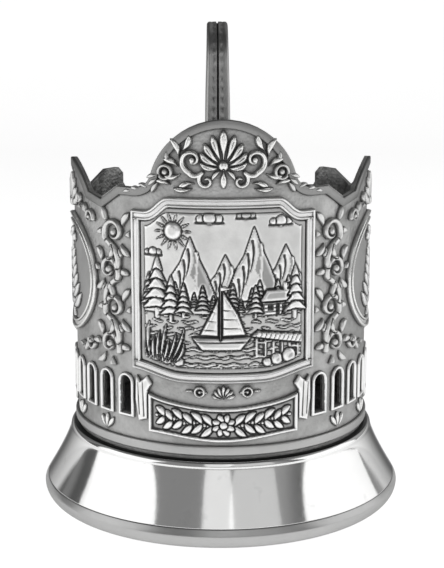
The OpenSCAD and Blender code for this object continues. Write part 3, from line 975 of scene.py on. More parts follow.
class LakePicture(Relief):
    """A lake among mountains, with a sun, firs, a cabin, a jetty and a sailing boat."""

    shore = 52.0
    half_w = 19.0

    def __init__(self) -> None:
        """Draws the picture from far to near."""
        super().__init__(0, (-self.half_w, self.half_w, 38.0, 75.0), 0.2)
        self.plate = Shape(frame_outline(3.4))
        self.cut = functools.partial(self.put, within=self.plate)
        self.put(Shape(frame_outline(2.3)), 0.16, 0.2, 0.05, tone=0.5)
        self.put(self.plate, 0.34, 0.35, 0.12, 0.14, 1.0)
        self.fade(self.plate, 1.0, 0.84)
        self.sky((-11.0, 69.6))
        for top, half in (((-15.0, 62.4), 6.0), ((13.8, 66.4), 7.6), ((0.4, 64.6), 6.4),
                          ((-7.2, 68.4), 7.0), ((6.6, 70.6), 7.2)):
            self.peak(top, half)
        hill = [(u, self.shore + 2.6 + 1.1 * math.sin(0.5 * u + 1.0) + 0.5 * math.sin(1.3 * u))
                for u in np.linspace(-self.half_w, self.half_w, 40)]
        feet = [(side * self.half_w, self.shore - 0.4) for side in (-1, 1)]
        self.cut(Shape(feet[:1] + hill + feet[1:]), 0.7, 0.5, 0.4, 0.25, 0.45)
        self.water()
        for k in range(17):
            u = -16.6 + 2.05 * k + 0.4 * math.sin(3.1 * k)
            self.fir((u, self.shore + 0.2 + 0.6 * math.sin(1.7 * k)),
                     4.4 + 1.5 * math.sin(2.3 * k) + 0.013 * u * u, 0.35 + 0.3 * (k % 3))
        self.cabin((8.6, self.shore - 0.8))
        for u, z, height in ((-14.6, -1.4, 13.4), (-11.4, -2.2, 10.0), (-8.6, -1.2, 7.4),
                             (16.0, -1.8, 11.8), (6.9, -1.2, 7.0)):
            self.fir((u, self.shore + z), height, 0.9)
        self.jetty()
        self.boat((-0.6, self.shore - 8.4), (1.25, 1.25))

    def sky(self, sun: Point) -> None:
        """Adds the sun and the clouds.

        Args:
            sun: The sun's middle.
        """
        self.put(disc(sun, 1.9), 0.95, 1.2, moat=0.3, tone=1.0)
        for k in range(14):
            turn = math.radians(360 / 14 * k)
            ray = [(sun[0] + r * math.cos(turn), sun[1] + r * math.sin(turn)) for r in (2.5, 3.9)]
            self.cut(tapered(ray, 0.24, 0.07), 0.7, 0.2, moat=0.12)
        for u, z, size in ((-3.0, 72.2, 1.0), (12.6, 71.4, 0.9), (4.8, 73.0, 0.7), (-15.6, 64.6, 0.7)):
            for shift, r in ((-2.0, 0.8), (1.9, 0.9), (0.0, 1.3)):
                self.cut(disc((u + size * shift, z + 0.3 * size * r), size * r), 0.72, 0.6, 0.35, 0.2, 0.95)
            self.press(even(at((u, z), (size, size), (-3.0, -0.6), (3.0, -0.6)), 0.2), 0.4, 0.14)

    def fir(self, foot: Point, height: float, tone: float) -> None:
        """Adds a fir tree of stacked tiers.

        Args:
            foot: The trunk's foot.
            height: The tree's height.
            tone: Brightness of its finish.
        """
        self.put(even([foot, (foot[0], foot[1] + 0.3 * height)], 0.03 * height + 0.1), 0.8, 0.2)
        for k in range(5):
            low, half = foot[1] + height * (0.12 + 0.16 * k), height * (0.27 - 0.046 * k)
            tier = at((foot[0], low), (half, height),
                      (-1, 0), (0, 0.05), (1, 0), (0.25, 0.2), (0, 0.25), (-0.25, 0.2))
            self.put(Shape(tier), 1.0, 0.5, 0.35, 0.2, tone)

    def peak(self, top: Point, half: float) -> None:
        """Adds a mountain with a lit left face, a shaded right face and gullies.

        Args:
            top: Its summit.
            half: Half its width at the shore.
        """
        u, z = top
        drop = z - self.shore
        here = functools.partial(at, (u, self.shore), (half, drop))
        ridge = ((0, 1), (0.22, 0.76), (0.5, 0.52), (1, 0))
        self.cut(Shape(here((-1, 0), (-0.55, 0.5), (-0.3, 0.66), *ridge)), 0.62, 0.8, 0.36, 0.3, 0.95)
        shade = here(*ridge, (0.15, 0), (0.34, 0.3), (0.02, 0.5), (0.14, 0.7))
        self.cut(Shape(shade), 0.5, 0.4, 0.4, tone=0.34)
        for k in range(4):
            start = (u - (0.06 + 0.14 * k) * half, z - (0.16 + 0.15 * k) * drop)
            gully = bent_path(*at(start, (half, drop), (0, 0), (0.1, -0.16), (-0.06, -0.36)), 8)
            self.press(tapered(gully, 0.3, 0.08), 0.4, 0.16)
            rib = [(p + (0.26 + 0.13 * k) * half, q - 0.04 * drop) for p, q in gully]
            self.cut(tapered(rib, 0.28, 0.08), 0.72, 0.28, 0.4, tone=0.9)

    def water(self) -> None:
        """Adds the lake with rows of ripples that widen towards the front."""
        self.cut(rect(-self.half_w, self.half_w, 38, self.shore), 0.3, 0.2, 0.2, tone=0.72)
        for row in range(9):
            depth = 0.9 + 1.35 * row + 0.03 * row * row
            for k in range(-4, 5):
                u = 4.3 * k + 2.1 * (row % 2) + 0.8 * math.sin(5.1 * k + 2.3 * row)
                half = (1.4 + 0.24 * row) * (0.8 + 0.35 * math.sin(3.7 * k + 1.9 * row))
                wave = [(u + t, self.shore - depth + 0.2 * math.sin(1.9 * t + k + row))
                        for t in np.linspace(-half, half, 10)]
                width = 0.08 + (0.16 + 0.016 * row) * np.sin(np.linspace(0.1, 3.04, 10))
                self.cut(Shape(wave, list(width)), 0.72, 0.3, 0.3, 0.12, 1.0)

    def cabin(self, corner: Point) -> None:
        """Adds a log cabin.

        Args:
            corner: Its lower left corner.
        """
        u, z = corner
        here = functools.partial(at, corner, (1, 1))
        self.put(rect(u, u + 6.4, z, z + 3.2), 1.05, 0.3, 0.5, 0.22, 0.95)
        for k in range(3):
            self.press(even(here((0.2, 0.8 + 0.8 * k), (6.2, 0.8 + 0.8 * k)), 0.08), 0.3, 0.12)
        self.put(Shape(here((-0.8, 3.0), (7.2, 3.0), (5.8, 5.6), (0.8, 5.6))), 1.25, 0.4, 0.6, 0.2, 0.45)
        self.put(even(here((4.9, 5.2), (4.9, 6.8)), 0.45), 1.15, 0.3, tone=0.9)
        for middle in (1.5, 4.7):
            self.press(rect(u + middle - 0.55, u + middle + 0.55, z + 1.0, z + 2.3), 0.8, 0.1)
        self.press(even(here((3.1, 0), (3.1, 2.1)), 0.4), 0.8, 0.1)

    def jetty(self) -> None:
        """Adds a plank jetty on posts, with rocks and reeds in front."""
        for k in range(6):
            u = 7.2 + 1.9 * k
            self.put(even([(u, 42.2 - 0.1 * k), (u, 46.8 - 0.35 * k)], 0.3), 0.9, 0.28, tone=0.85)
        self.cut(Shape([(6.0, 46.6), (18.5, 44.2), (18.5, 46.2), (7.4, 47.7)]), 1.15, 0.35, 0.5, 0.25, 1.0)
        for k in range(11):
            u = 7.4 + 1.0 * k
            self.press(even([(u, 48.0 - 0.2 * k), (u - 0.7, 45.6 - 0.12 * k)], 0.07), 0.35, 0.1)
        for u, z, r in ((-15.2, 42.4, 1.7), (-12.4, 41.6, 1.5), (-9.8, 40.8, 1.1), (9.6, 40.6, 1.0),
                        (11.8, 41.2, 1.3), (14.6, 41.8, 1.6)):
            self.cut(disc((u, z), r), 1.0, 0.9, 0.4, 0.22, 0.9)
            self.cut(disc((u + 0.4 * r, z - 0.3 * r), 0.6 * r), 0.8, 0.5, 0.4, tone=0.4)
        for k in range(9):
            self.cut(leaf((-17.0 + 0.8 * k, 41.4 - 0.1 * k), 6.4 + 1.9 * math.sin(2.1 * k), 97 - 4 * k, 0.3,
                          0.5 - 0.13 * k), 1.15, 0.3, 0.4, 0.18, 0.95)

    def boat(self, keel: Point, scale: Point) -> None:
        """Adds a sailing boat.

        Args:
            keel: Middle of the hull's keel.
            scale: Its scale.
        """
        here = functools.partial(at, keel, scale)
        self.put(Shape(here((0.3, 2.5), (4.3, 2.7), (2.9, 6.4), (0.3, 10.6))), 1.25, 1.1, 0.5, 0.34, 1.0)
        self.put(Shape(here((-0.4, 2.5), (-3.5, 2.7), (-2.0, 5.6), (-0.4, 9.2))), 1.2, 1.0, 0.5, 0.34, 0.9)
        self.put(Shape(here((-4.8, 2.1), (-3.2, 0), (3.4, 0), (5.2, 2.3))), 1.25, 0.7, 0.5, 0.34, 0.8)
        self.put(even(here((0, 2), (0, 11.4)), 0.2), 1.1, 0.2, moat=0.12)
        self.put(Shape(here((0, 11.4), (2.2, 11.0), (0, 10.5))), 1.0, 0.2, tone=1.0)
        self.press(even(here((-4.0, 1.4), (4.3, 1.5)), 0.13), 0.35, 0.12)
        for z in (4.0, 5.6, 7.2):
            self.press(even(here((0.5, z), (3.7 - 0.32 * (z - 4), z + 0.1)), 0.08), 0.25, 0.1)
            self.press(even(here((-0.6, z - 0.4), (-2.8 + 0.3 * (z - 4), z - 0.3)), 0.07), 0.25, 0.1)


@dataclass
class FrontPanel:
    """The front picture, its double-beaded frame and the keystone under it."""

    key_z: float = 34.0

    def build(self) -> None:
        """Makes the front panel's pieces."""
        piece("picture_frame", "picture", "raised_silver", ["front_frame"],
              *double_bead(0, frame_outline(0), 0.95))
        piece("lake_picture", "picture", "bright_picture", ["front_picture"], LakePicture().mesh())
        piece("frame_shell", "raised", "raised_silver", ["frame_keystone"], self.keystone().mesh())

    def keystone(self) -> Relief:
        """The small shell between two roundels.

        Returns:
            The relief.
        """
        made = Relief(0, (-8.5, 8.5, 31.4, 36.2), 0.12)
        for k in range(-3, 4):
            made.put(leaf((0, self.key_z - 1.6), 3.1 - 0.16 * abs(k), 90 - 24 * k, 0.5, blunt=0.66),
                     0.95, 0.45, moat=0.1)
        for side in (-1, 1):
            made.put(ring((side * 5.2, self.key_z), 1.0, 0.32), 0.9, 0.35)
            made.put(disc((side * 5.2, self.key_z), 0.42), 0.8, 0.4)
            made.put(leaf((side * 3.4, self.key_z - 0.2), 1.9, 90 - side * 80, 0.35), 0.6, 0.4)
            made.put(leaf((side * 6.4, self.key_z), 2.0, 90 - side * 86, 0.35), 0.6, 0.4)
        return made


@dataclass
class Ribbon:
    """The ribbon under the picture, with a garland on it, and its folded ends."""

    low_z: float = 22.6
    height: float = 7.8
    droop: float = 1.4
    flare: float = 1.2
    half: float = 16.95
    border: float = 0.75
    fold: float = 17.15
    tail_w: float = 3.2
    tail_h: float = 14.2

    def low_edge(self, u: float) -> float:
        """Height of the ribbon's lower edge at an across position."""
        return self.low_z + self.droop * ease(abs(u) / self.half)

    def high_edge(self, u: float) -> float:
        """Height of the ribbon's upper edge at an across position."""
        return self.low_edge(u) + self.height + self.flare * (abs(u) / self.half) ** 6

    def middle(self, u: float) -> float:
        """Height of the ribbon's middle at an across position."""
        return (self.low_edge(u) + self.high_edge(u)) / 2

    def outline(self, inset: float) -> Shape:
        """Outline of the ribbon.

        Args:
            inset: How far inside the ribbon's edge it runs.

        Returns:
            The outline.
        """
        us = np.linspace(-self.half + inset, self.half - inset, 41)
        low = [(u, self.low_edge(u) + inset) for u in us]
        return Shape(low + [(u, self.high_edge(u) - inset) for u in us[::-1]])

    def build(self) -> None:
        """Makes the ribbon's pieces."""
        band = Relief(0, (-17.2, 17.2, 22.2, 33.6), 0.15)
        band.put(self.outline(0), 0.95, 0.35, 0.4, tone=1.0)
        band.press(self.outline(self.border), 0.5, 0.14)
        band.fade(self.outline(self.border), 0.32, 0.32)
        self.garland(band)
        piece("ribbon_band", "picture", "bright_picture", ["ribbon"], band.mesh())
        piece("ribbon_ends", "picture", "bright_picture", ["ribbon_tails"],
              *[self.tail(mirrored).mesh() for mirrored in (False, True)])

    def garland(self, made: Relief) -> None:
        """Adds a rosette between two leafy sprigs to the ribbon's field.

        Args:
            made: The relief that takes them.
        """
        for side in (-1, 1):
            stem = [(side * u, self.middle(u) + 0.35 * math.sin(1.5 * u))
                    for u in np.linspace(2.0, 14.9, 30)]
            made.put(tapered(stem, 0.34, 0.2), 0.9, 0.3, 0.4, 0.1, 1.0)
            for k in range(6):
                u, z = stem[1 + 5 * k - (k > 4)]
                for up in (-1, 1):
                    turn = 90 - side * (90 - up * 44)
                    blade = leaf((u, z), 3.5 - 0.16 * k, turn, 0.72, side * up * 0.35)
                    made.put(blade, 1.05, 0.6, 0.45, 0.16, 1.0)
                made.put(disc((u + side * 1.7, z + 0.1), 0.42), 1.0, 0.4, 0.5, 0.1, 1.0)
        centre = (0.0, self.middle(0))
        for k in range(8):
            made.put(leaf(centre, 2.5, 45 * k + 22.5, 0.7, blunt=0.62), 1.05, 0.6, 0.45, 0.14, 1.0)
        made.put(disc(centre, 0.85), 1.2, 0.7, 0.6, 0.16, 1.0)

    def tail(self, mirrored: bool) -> Relief:
        """A forked end of the ribbon.

        Args:
            mirrored: Whether it is the left one.

        Returns:
            The relief.
        """
        made = Relief(0, (15.4, 21.0, 25.4, 37.4), 0.12, mirrored)
        w, h = self.tail_w, self.tail_h
        here = functools.partial(at, (self.fold, self.low_z), (1, 1))
        inner = self.droop + self.height + self.flare + 0.3
        made.put(Shape(here((0, 0.3 * h), (0.75 * w, 0.24 * h), (w, 0.6 * h), (0.95 * w, 0.99 * h),
                            (0.6 * w, 0.89 * h), (0.05 * w, h), (-0.34 * w, (inner + h) / 2), (0, inner))),
                 0.85, 0.5, 0.3, tone=1.0)
        for a, low, high in ((0.9, 0.34, 0.9), (2.1, 0.36, 0.88)):
            made.press(tapered(here((a, low * h), (a + 0.3, high * h)), 0.14, 0.06), 0.28, 0.14)
        return made


@dataclass
class Crest:
    """The ornament on the front crest."""

    heart: Point = (0.0, 83.8)
    palm_len: float = 7.4
    scroll_eye: Point = (6.6, 85.0)
    roundel_eye: Point = (12.6, 82.3)

    def build(self) -> None:
        """Makes the crest's pieces."""
        piece("palmette", "raised", "raised_silver", ["crest_palmette"], self.palmette().mesh())
        piece("scroll_pair", "raised", "raised_silver", ["crest_scrolls"],
              *[self.scroll(mirrored).mesh() for mirrored in (False, True)])
        piece("roundel_pair", "worn", "raised_silver", ["crest_roundels"],
              *[self.roundel(mirrored).mesh() for mirrored in (False, True)])

    def palmette(self) -> Relief:
        """The palmette of nine lobes over a small calyx.

        Returns:
            The relief.
        """
        made = Relief(0, (-8.8, 8.8, 78.6, 92.2), 0.12)
        for k in (4, -4, 3, -3, 2, -2, 1, -1, 0):
            length = self.palm_len * (1 - 0.085 * abs(k))
            lobe = leaf(self.heart, length, 90 - 20.5 * k, 0.86 if k else 1.0, -0.22 * k, 0.72)
            made.put(lobe, 1.25, 0.8, moat=0.16)
            if k:
                made.press(tapered(lobe.points[2:-2], 0.08, 0.14), 0.28, 0.14)
        made.put(disc(self.heart, 1.15), 1.2, 0.9, moat=0.18)
        low, left, right = at(self.heart, (1, 1), (0, -0.8), (-0.6, -1.0), (0.6, -1.0))
        made.put(leaf(low, 4.0, 270, 0.8, blunt=0.62), 1.05, 0.7, moat=0.16)
        made.put(leaf(left, 2.9, 228, 0.5, -0.3), 0.9, 0.5, moat=0.12)
        made.put(leaf(right, 2.9, 312, 0.5, 0.3), 0.9, 0.5, moat=0.12)
        return made

    def scroll(self, mirrored: bool) -> Relief:
        """The C-scroll beside the palmette and the spray over it.

        Args:
            mirrored: Whether it is the left one.

        Returns:
            The relief.
        """
        made = Relief(0, (1.6, 15.6, 77.2, 91.6), 0.12, mirrored)
        upper = spiral_path(self.scroll_eye, (2.8, 0.5), -75, 300)
        made.put(tapered(upper, 0.66, 0.36), 1.2, 0.6, moat=0.14)
        made.put(tapered(spiral_path((3.6, 80.6), (1.9, 0.4), 60, -300), 0.55, 0.32), 1.05, 0.5, moat=0.14)
        made.put(tapered(bent_path((4.6, 82.2), (6.4, 80.9), (7.4, 82.4), 8), 0.55, 0.6), 1.1, 0.5)
        made.put(disc(self.scroll_eye, 0.75), 1.2, 0.7)
        for base, length, turn, half, bow in (
                ((8.9, 86.9), 3.8, 116, 0.75, 0.5), ((9.6, 85.4), 4.4, 66, 0.78, 0.7),
                ((9.7, 83.6), 3.6, 24, 0.7, 0.4), ((9.2, 82.0), 3.6, -8, 0.66, -0.5),
                ((6.2, 80.0), 3.8, -20, 0.66, 0.5), ((6.6, 78.9), 4.2, 0, 0.58, -0.4),
                ((11.4, 79.6), 3.4, 12, 0.6, 0.3)):
            made.put(leaf(base, length, turn, half, bow, 0.6), 1.0, 0.6, moat=0.14)
        return made

    def roundel(self, mirrored: bool) -> Relief:
        """The roundel at the crest's foot, with leaves round it.

        Args:
            mirrored: Whether it is the left one.

        Returns:
            The relief.
        """
        made = Relief(0, (8.6, 24.6, 76.6, 87.6), 0.12, mirrored)
        made.put(ring(self.roundel_eye, 1.45, 0.42), 1.05, 0.42)
        made.put(disc(self.roundel_eye, 0.75), 1.1, 0.7)
        for k in range(3):
            made.put(leaf((14.0, 81.6 - 0.7 * k), 3.0, -14 - 20 * k, 0.55, 0.2, 0.6), 0.9, 0.5, moat=0.12)
        made.put(leaf((11.6, 84.3), 2.6, 78, 0.55, -0.3), 0.9, 0.5)
        for k in range(3):
            base = (16.6 + 2.2 * k, 78.6 - 0.45 * k)
            made.put(leaf(base, 2.6 - 0.2 * k, 18 - 14 * k, 0.5, 0.2), 0.8, 0.45)
        return made


@dataclass
class SideFlank:
    """One side of the cup: the oval picture, its frame, the strips beside it and the slots."""

    mirrored: bool
    stretch: float = 1.03
    bead_h: float = 1.05
    slot_edge: float = 0.85

    def oval(self, inset: float) -> list[Point]:
        """Points on the oval.

        Args:
            inset: How far inside the oval's edge they lie.

        Returns:
            The points in order.
        """
        half_w = CUP.oval_half_w * self.stretch - inset
        half_h = CUP.oval_half_h - inset
        return [(half_w * math.cos(a), CUP.oval_z + half_h * math.sin(a))
                for a in np.linspace(0, 2 * math.pi, 97)[:-1]]

    def build(self) -> None:
        """Makes the side's pieces."""
        side, azimuth = ("left", -CUP.side_az) if self.mirrored else ("right", CUP.side_az)
        piece(f"{side}_oval_frame", "raised", "raised_silver", [f"{side}_frame"],
              *double_bead(azimuth, self.oval(0), self.bead_h))
        for name, look, slot, node, relief in (
                ("branch", "picture", "bright_picture", "picture", self.branch()),
                ("tip_leaf", "worn", "raised_silver", "crest_leaf", self.crest_leaf()),
                ("front_strip", "worn", "raised_silver", "front_scrolls", self.strip(False)),
                ("rear_strip", "worn", "raised_silver", "rear_scrolls", self.strip(True)),
                ("slot_edges", "picture", "bright_picture", "slot_surrounds", self.slots())):
            piece(f"{side}_{name}", look, slot, [f"{side}_{node}"], relief.mesh())

    def branch(self) -> Relief:
        """A branch of leaves and round fruits in the oval.

        Returns:
            The relief.
        """
        made = Relief(CUP.side_az, (-13.6, 13.6, 44.2, 67.8), 0.2, self.mirrored)
        made.put(Shape(self.oval(2.3)), 0.14, 0.3, 0.05, tone=0.35)
        stem = bent_path((-1.5, 45.4), (2.6, 55.0), (-0.6, 65.2), 18)
        made.put(tapered(stem, 0.42, 0.22), 0.8, 0.35, moat=0.14)
        for k in range(6):
            for way in (-1, 1):
                turn, bow = 90 - way * (58 - 4 * k), -0.5 * way
                base = stem[2 + 2 * k]
                made.put(leaf(base, 7.4 - 0.75 * k, turn, 1.2 - 0.08 * k, bow), 0.9, 0.9, moat=0.2)
                vein = leaf(base, 6.6 - 0.75 * k, turn, 0.2, bow)
                made.press(tapered(vein.points[1:], 0.12, 0.06), 0.3, 0.12)
        for spot in ((-0.6, 65.6), (-2.4, 64.2), (1.3, 64.4)):
            made.put(disc(spot, 1.05), 1.0, 0.9, moat=0.18)
        return made

    def crest_leaf(self) -> Relief:
        """The spray of leaves under the side crest's tip.

        Returns:
            The relief.
        """
        made = Relief(CUP.side_az, (-11.4, 11.4, 69.9, 80.4), 0.12, self.mirrored)
        for k in (3, -3, 2, -2, 1, -1, 0):
            lobe = leaf((0, 72.4), 6.6 - 0.6 * abs(k), 90 - 26 * k, 0.85, -0.2 * k, 0.66)
            made.put(lobe, 0.9, 0.7, moat=0.14)
        made.put(disc((0, 72.2), 1.1), 1.0, 0.8, moat=0.16)
        for side in (-1, 1):
            curl = at((0, 0), (side, 1), *spiral_path((7.2, 73.6), (1.7, 0.4), 200, -120))
            made.put(tapered(curl, 0.42, 0.26), 0.85, 0.4, moat=0.1)
            made.put(leaf((side * 5.6, 71.6), 3.8, 90 - side * 86, 0.45, side * 0.3), 0.7, 0.45)
        return made

    def strip(self, rear: bool) -> Relief:
        """The scrollwork beside an oval.

        Args:
            rear: Whether it is behind the oval.

        Returns:
            The relief.
        """
        azimuth = 2 * CUP.side_az - CUP.strip_az if rear else CUP.strip_az
        made = Relief(azimuth, (-14.0, 14.0, 37.8, 75.4), 0.14, self.mirrored)
        turn = -1 if rear else 1
        middle = arc_length(CUP.side_az - CUP.strip_az)
        oval = Shape([(turn * (middle + u), z) for u, z in self.oval(-0.45)])
        inner = -turn * (arc_length(CUP.strip_az - CUP.frame_az) - 0.25)
        field = rect(inner, 14 * turn, 36, 78)

        def grow(shape: Shape, height: float, soft: float = 0.5) -> None:
            """Turns a shape to face its oval, keeps it clear of the oval and the frame and raises it."""
            faced = Shape(at((0, 0), (turn, 1), *shape.points), shape.half)
            made.put(faced, height, soft, moat=0.16, hole=oval, within=field)

        for k in range(4):
            side = -1 if k % 2 else 1
            u, z = 0.9 * side - 0.3, 42.6 + 8.5 * k
            start = 205 if side > 0 else -25
            for du, dz, way, length, bow in (
                    (2.5, 1.5, 58, 3.6, 0.5), (3.1, -0.6, 6, 3.0, 0.4), (2.0, -2.4, -44, 3.6, -0.5),
                    (-2.0, 2.2, 118, 3.4, 0.5), (-3.0, -0.6, 182, 2.8, -0.4), (-0.6, -3.0, 250, 3.2, 0.4)):
                turned_way = 90 + side * (way - 90)
                grow(leaf((u + side * du, z + dz), length, turned_way, 0.82, side * bow, 0.56), 0.85, 0.7)
            coil = spiral_path((u, z), (3.3, 0.95), start, start - side * 350, 44)
            grow(tapered(coil, 0.72, 0.42), 1.1, 0.6)
            grow(disc((u, z), 0.85), 1.15, 0.7)
            if k < 3:
                link = bent_path((u - 2.9 * side, z + 1.2), (u - 3.4 * side, z + 4.6),
                                 (1.8 * side - 0.3, z + 6.6), 12)
                grow(even(link, 0.72), 1.0, 0.6)
        for way, z in ((1, 70.4), (-1, 41.6)):
            grow(tapered(spiral_path((8.2, z), (1.9, 0.4), 190, 190 - way * 380), 0.5, 0.3), 0.9)
            grow(disc((8.2, z), 0.55), 0.95)
            for k in range(4):
                base = (9.6 + 0.7 * k, z + way * (0.4 + 0.35 * k))
                grow(leaf(base, 2.8, way * (62 - 20 * k), 0.55, 0.2), 0.85)
        return made

    def arch(self, middle: float, grow: float) -> Shape:
        """Outline of a slot.

        Args:
            middle: Across position of its middle.
            grow: How far it is grown all round.

        Returns:
            The outline.
        """
        half = CUP.slot_w / 2 + grow
        high, low = CUP.slot_z + CUP.slot_h - CUP.slot_w / 2, CUP.slot_z - grow
        bow = arc_path((middle, high), half, 0, 180, 14)
        return Shape([(middle + half, low), *bow, (middle - half, low)])

    def slots(self) -> Relief:
        """The raised edges round the slots.

        Returns:
            The relief.
        """
        reach = arc_length(4 * CUP.slot_pitch) + 2.6
        made = Relief(CUP.side_az, (-reach, reach, 26.2, 37.0), 0.15, self.mirrored)
        for k in range(CUP.slot_count):
            u = arc_length(CUP.slot_pitch * (k - (CUP.slot_count - 1) / 2))
            made.put(self.arch(u, self.slot_edge), 0.62, 0.42, 0.12, hole=self.arch(u, 0.05))
        return made


@dataclass
class BaseLeaves:
    """The pointed leaves under the slots."""

    low_z: float = 22.3

    def build(self) -> None:
        """Makes the leaves."""
        parts = []
        for mirrored in (False, True):
            for k in (-3, -1, 1, 3):
                patch = Relief(CUP.side_az + k * CUP.slot_pitch, (-2.4, 2.4, 21.8, 26.0), 0.12, mirrored)
                for way in (-1, 0, 1):
                    blade = leaf((0, self.low_z), 3.5, 90 - 34 * way, 0.6, -0.2 * way, 0.6)
                    patch.put(blade, 0.6, moat=0.1)
                parts.append(patch.mesh())
        piece("leaf_border", "raised", "raised_silver", ["base_leaves"], *parts)


@dataclass
class Handle:
    """The loop handle in two halves, and the plates that carry it."""

    width: float = 6.6
    thick: float = 3.8
    corner: float = 0.9
    seam: float = 0.35
    boss_y: float = 36.55
    upper_z: float = 62.0
    lower_z: float = 33.0
    joint_c: Point = (38.05, 68.0)
    top_c: Point = (58.1, 97.6)
    low_c: Point = (41.05, 59.0)
    joint_r: float = 6.0
    top_r: float = 12.0
    low_r: float = 26.0
    taper: float = 0.14
    taper_z: float = 82.0
    steps: int = 420
    pattern_pitch: float = 7.0
    pattern_x: float = 1.35
    pattern_reach: Point = (0.5, 2.3)

    def line(self) -> tuple[Array, Array]:
        """The loop's middle line.

        Returns:
            Its points in the plane of Y and Z, and the unit normals on its outer side.
        """
        turns = []
        for sign, centre, reach in ((1, self.joint_c, self.joint_r + self.top_r),
                                    (-1, self.low_c, self.low_r - self.top_r)):
            y, z = [sign * (a - b) for a, b in zip(centre, self.top_c)]
            turns.append(math.degrees(math.atan2(z, y) - math.acos(reach / math.hypot(y, z))))
        arm, back = turns
        rows = [(self.boss_y, self.upper_z, 90.0)]
        for centre, radius, start, end, steps, flip in (
                (self.joint_c, self.joint_r, -90, arm + 180, 16, 180),
                (self.top_c, self.top_r, arm + 360, back, 48, 0),
                (self.low_c, self.low_r, back, -90, 40, 0)):
            angles = np.linspace(start, end, steps) + flip
            arc = arc_path(centre, radius, start, end, steps - 1)
            rows += [(y, z, a) for (y, z), a in zip(arc, angles)]
        rows.append((self.boss_y, self.lower_z, -90.0))
        y, z, angles = np.array(rows).T
        angles = np.radians(angles)
        length = np.concatenate([[0], np.cumsum(np.hypot(np.diff(y), np.diff(z)))])
        spaced = np.linspace(0, length[-1], self.steps)
        spots, ways = [np.stack([np.interp(spaced, length, values) for values in pair], axis=1)
                       for pair in ((y, z), (np.cos(angles), np.sin(angles)))]
        return spots, unit(ways)

    def section(self) -> list[Point]:
        """Closed outline of one half.

        Returns:
            Distances from the seam and heights over the middle line.
        """
        half_w, half_t = self.width / 2, self.thick / 2
        upper = [(0.0, half_t - 0.5), (self.seam * 0.6, half_t - 0.3), (self.seam, half_t)]
        upper += [(x, half_t) for x in np.linspace(self.seam, half_w - self.corner, 12)[1:-1]]
        upper += arc_path((half_w - self.corner, half_t - self.corner), self.corner, 90, 0, 6)
        return upper + [(x, -n) for x, n in upper[::-1]]

    def half(self, sign: int) -> Mesh:
        """One half of the handle, with a shallow pattern on its broad faces.

        Args:
            sign: -1 for the left half and 1 for the right.

        Returns:
            The mesh.
        """
        spots, ways = self.line()
        section = self.section()
        count, size = len(spots), len(section)
        points, cavity = np.empty((count, size, 3)), np.zeros((count, size))
        swing = np.cos(2 * math.pi * np.arange(count) / self.pattern_pitch)
        span = self.top_c[1] + self.top_r - self.taper_z
        narrow = 1 - self.taper * np.array([ease((z - self.taper_z) / span) for z in spots[:, 1]])
        for k, (x, n) in enumerate(section):
            rise = n
            if abs(n) >= self.thick / 2 - 1e-6 and self.pattern_reach[0] < x < self.pattern_reach[1]:
                away = x - self.pattern_x
                dip = 0.08 * (1 - swing) * math.exp(-(away / 0.7) ** 2)
                dip += 0.08 * np.exp(-((away - 0.35 * swing) / 0.28) ** 2)
                rise = n - np.sign(n) * dip
                cavity[:, k] = dip * 2.4 - 0.2
            if x < 0.3:
                cavity[:, k] = 1.0
            points[:, k, 0] = sign * x * narrow
            points[:, k, 1] = spots[:, 0] + ways[:, 0] * rise
            points[:, k, 2] = spots[:, 1] + ways[:, 1] * rise
        faces = [face[:1] + face[:0:-1] for face in tube_faces(count, size, False)]
        return Mesh(points.reshape(-1, 3) * MM, [face[::sign] for face in faces], cavity.reshape(-1))

    def plate(self, name: str, joint_z: float) -> None:
        """Makes a plate with its boss.

        Args:
            name: Which plate it is.
            joint_z: Height of the joint that it carries.
        """
        made = Relief(180, (-8.6, 8.6, joint_z - 8.0, joint_z + 7.6), 0.2)
        right = [(0, -7.5), (2.6, -5.25), (5.4, -4.65), (8, -3.0),
                 (8, 3.5), (5.6, 5.04), (4, 7.0), (0, 6.44)]
        left = [(-u, z) for u, z in right[-2:0:-1]]
        outline = Shape(at((0, joint_z), (1, 1), *right, *left))
        made.put(outline, 0.82, 0.5, 0.25)
        made.lift -= 0.28 * np.exp(-((outline.inside(made.u, made.z) - 1.1) / 0.2) ** 2)
        for side in (-1, 1):
            for turn in (28, -12, -50):
                made.press(leaf((side * 4.6, joint_z - 0.4), 2.6, 90 - side * (90 - turn), 0.4), 0.3, 0.14)
        size = 32
        turns = 2 * math.pi * (np.arange(size) + 0.5) / size
        across, up = [np.copysign(np.abs(way) ** 0.45, way) for way in (np.cos(turns), np.sin(turns))]
        rings = []
        for y, grow in ((CUP.seat_r - 0.6, 0.0), (self.boss_y - 0.7, 0.0), (self.boss_y - 0.25, -0.12),
                        (self.boss_y, -0.5)):
            rings.append(np.stack([(self.width / 2 + 1.0 + grow) * across, np.full(size, y),
                                   joint_z + (self.thick / 2 + 1.2 + grow) * up], axis=1))
        boss = Mesh(np.concatenate(rings) * MM, tube_faces(len(rings), size, False))
        piece(f"{name}_plate", "raised", "raised_silver", [f"handle_{name}_plate"], made.mesh(), boss)

    def build(self) -> None:
        """Makes the handle's pieces."""
        for sign, label in ((-1, "left"), (1, "right")):
            piece(f"handle_{label}_shell", "handle", "handle_silver", [f"handle_{label}_half"],
                  self.half(sign))
        self.plate("upper", self.upper_z)
        self.plate("lower", self.lower_z)


# Studio


@dataclass(frozen=True)
class Softbox:
    """A flat lamp that faces the holder."""

    name: str
    azimuth: float
    elevation: float
    distance: float
    width: float
    height: float
    radiance: float


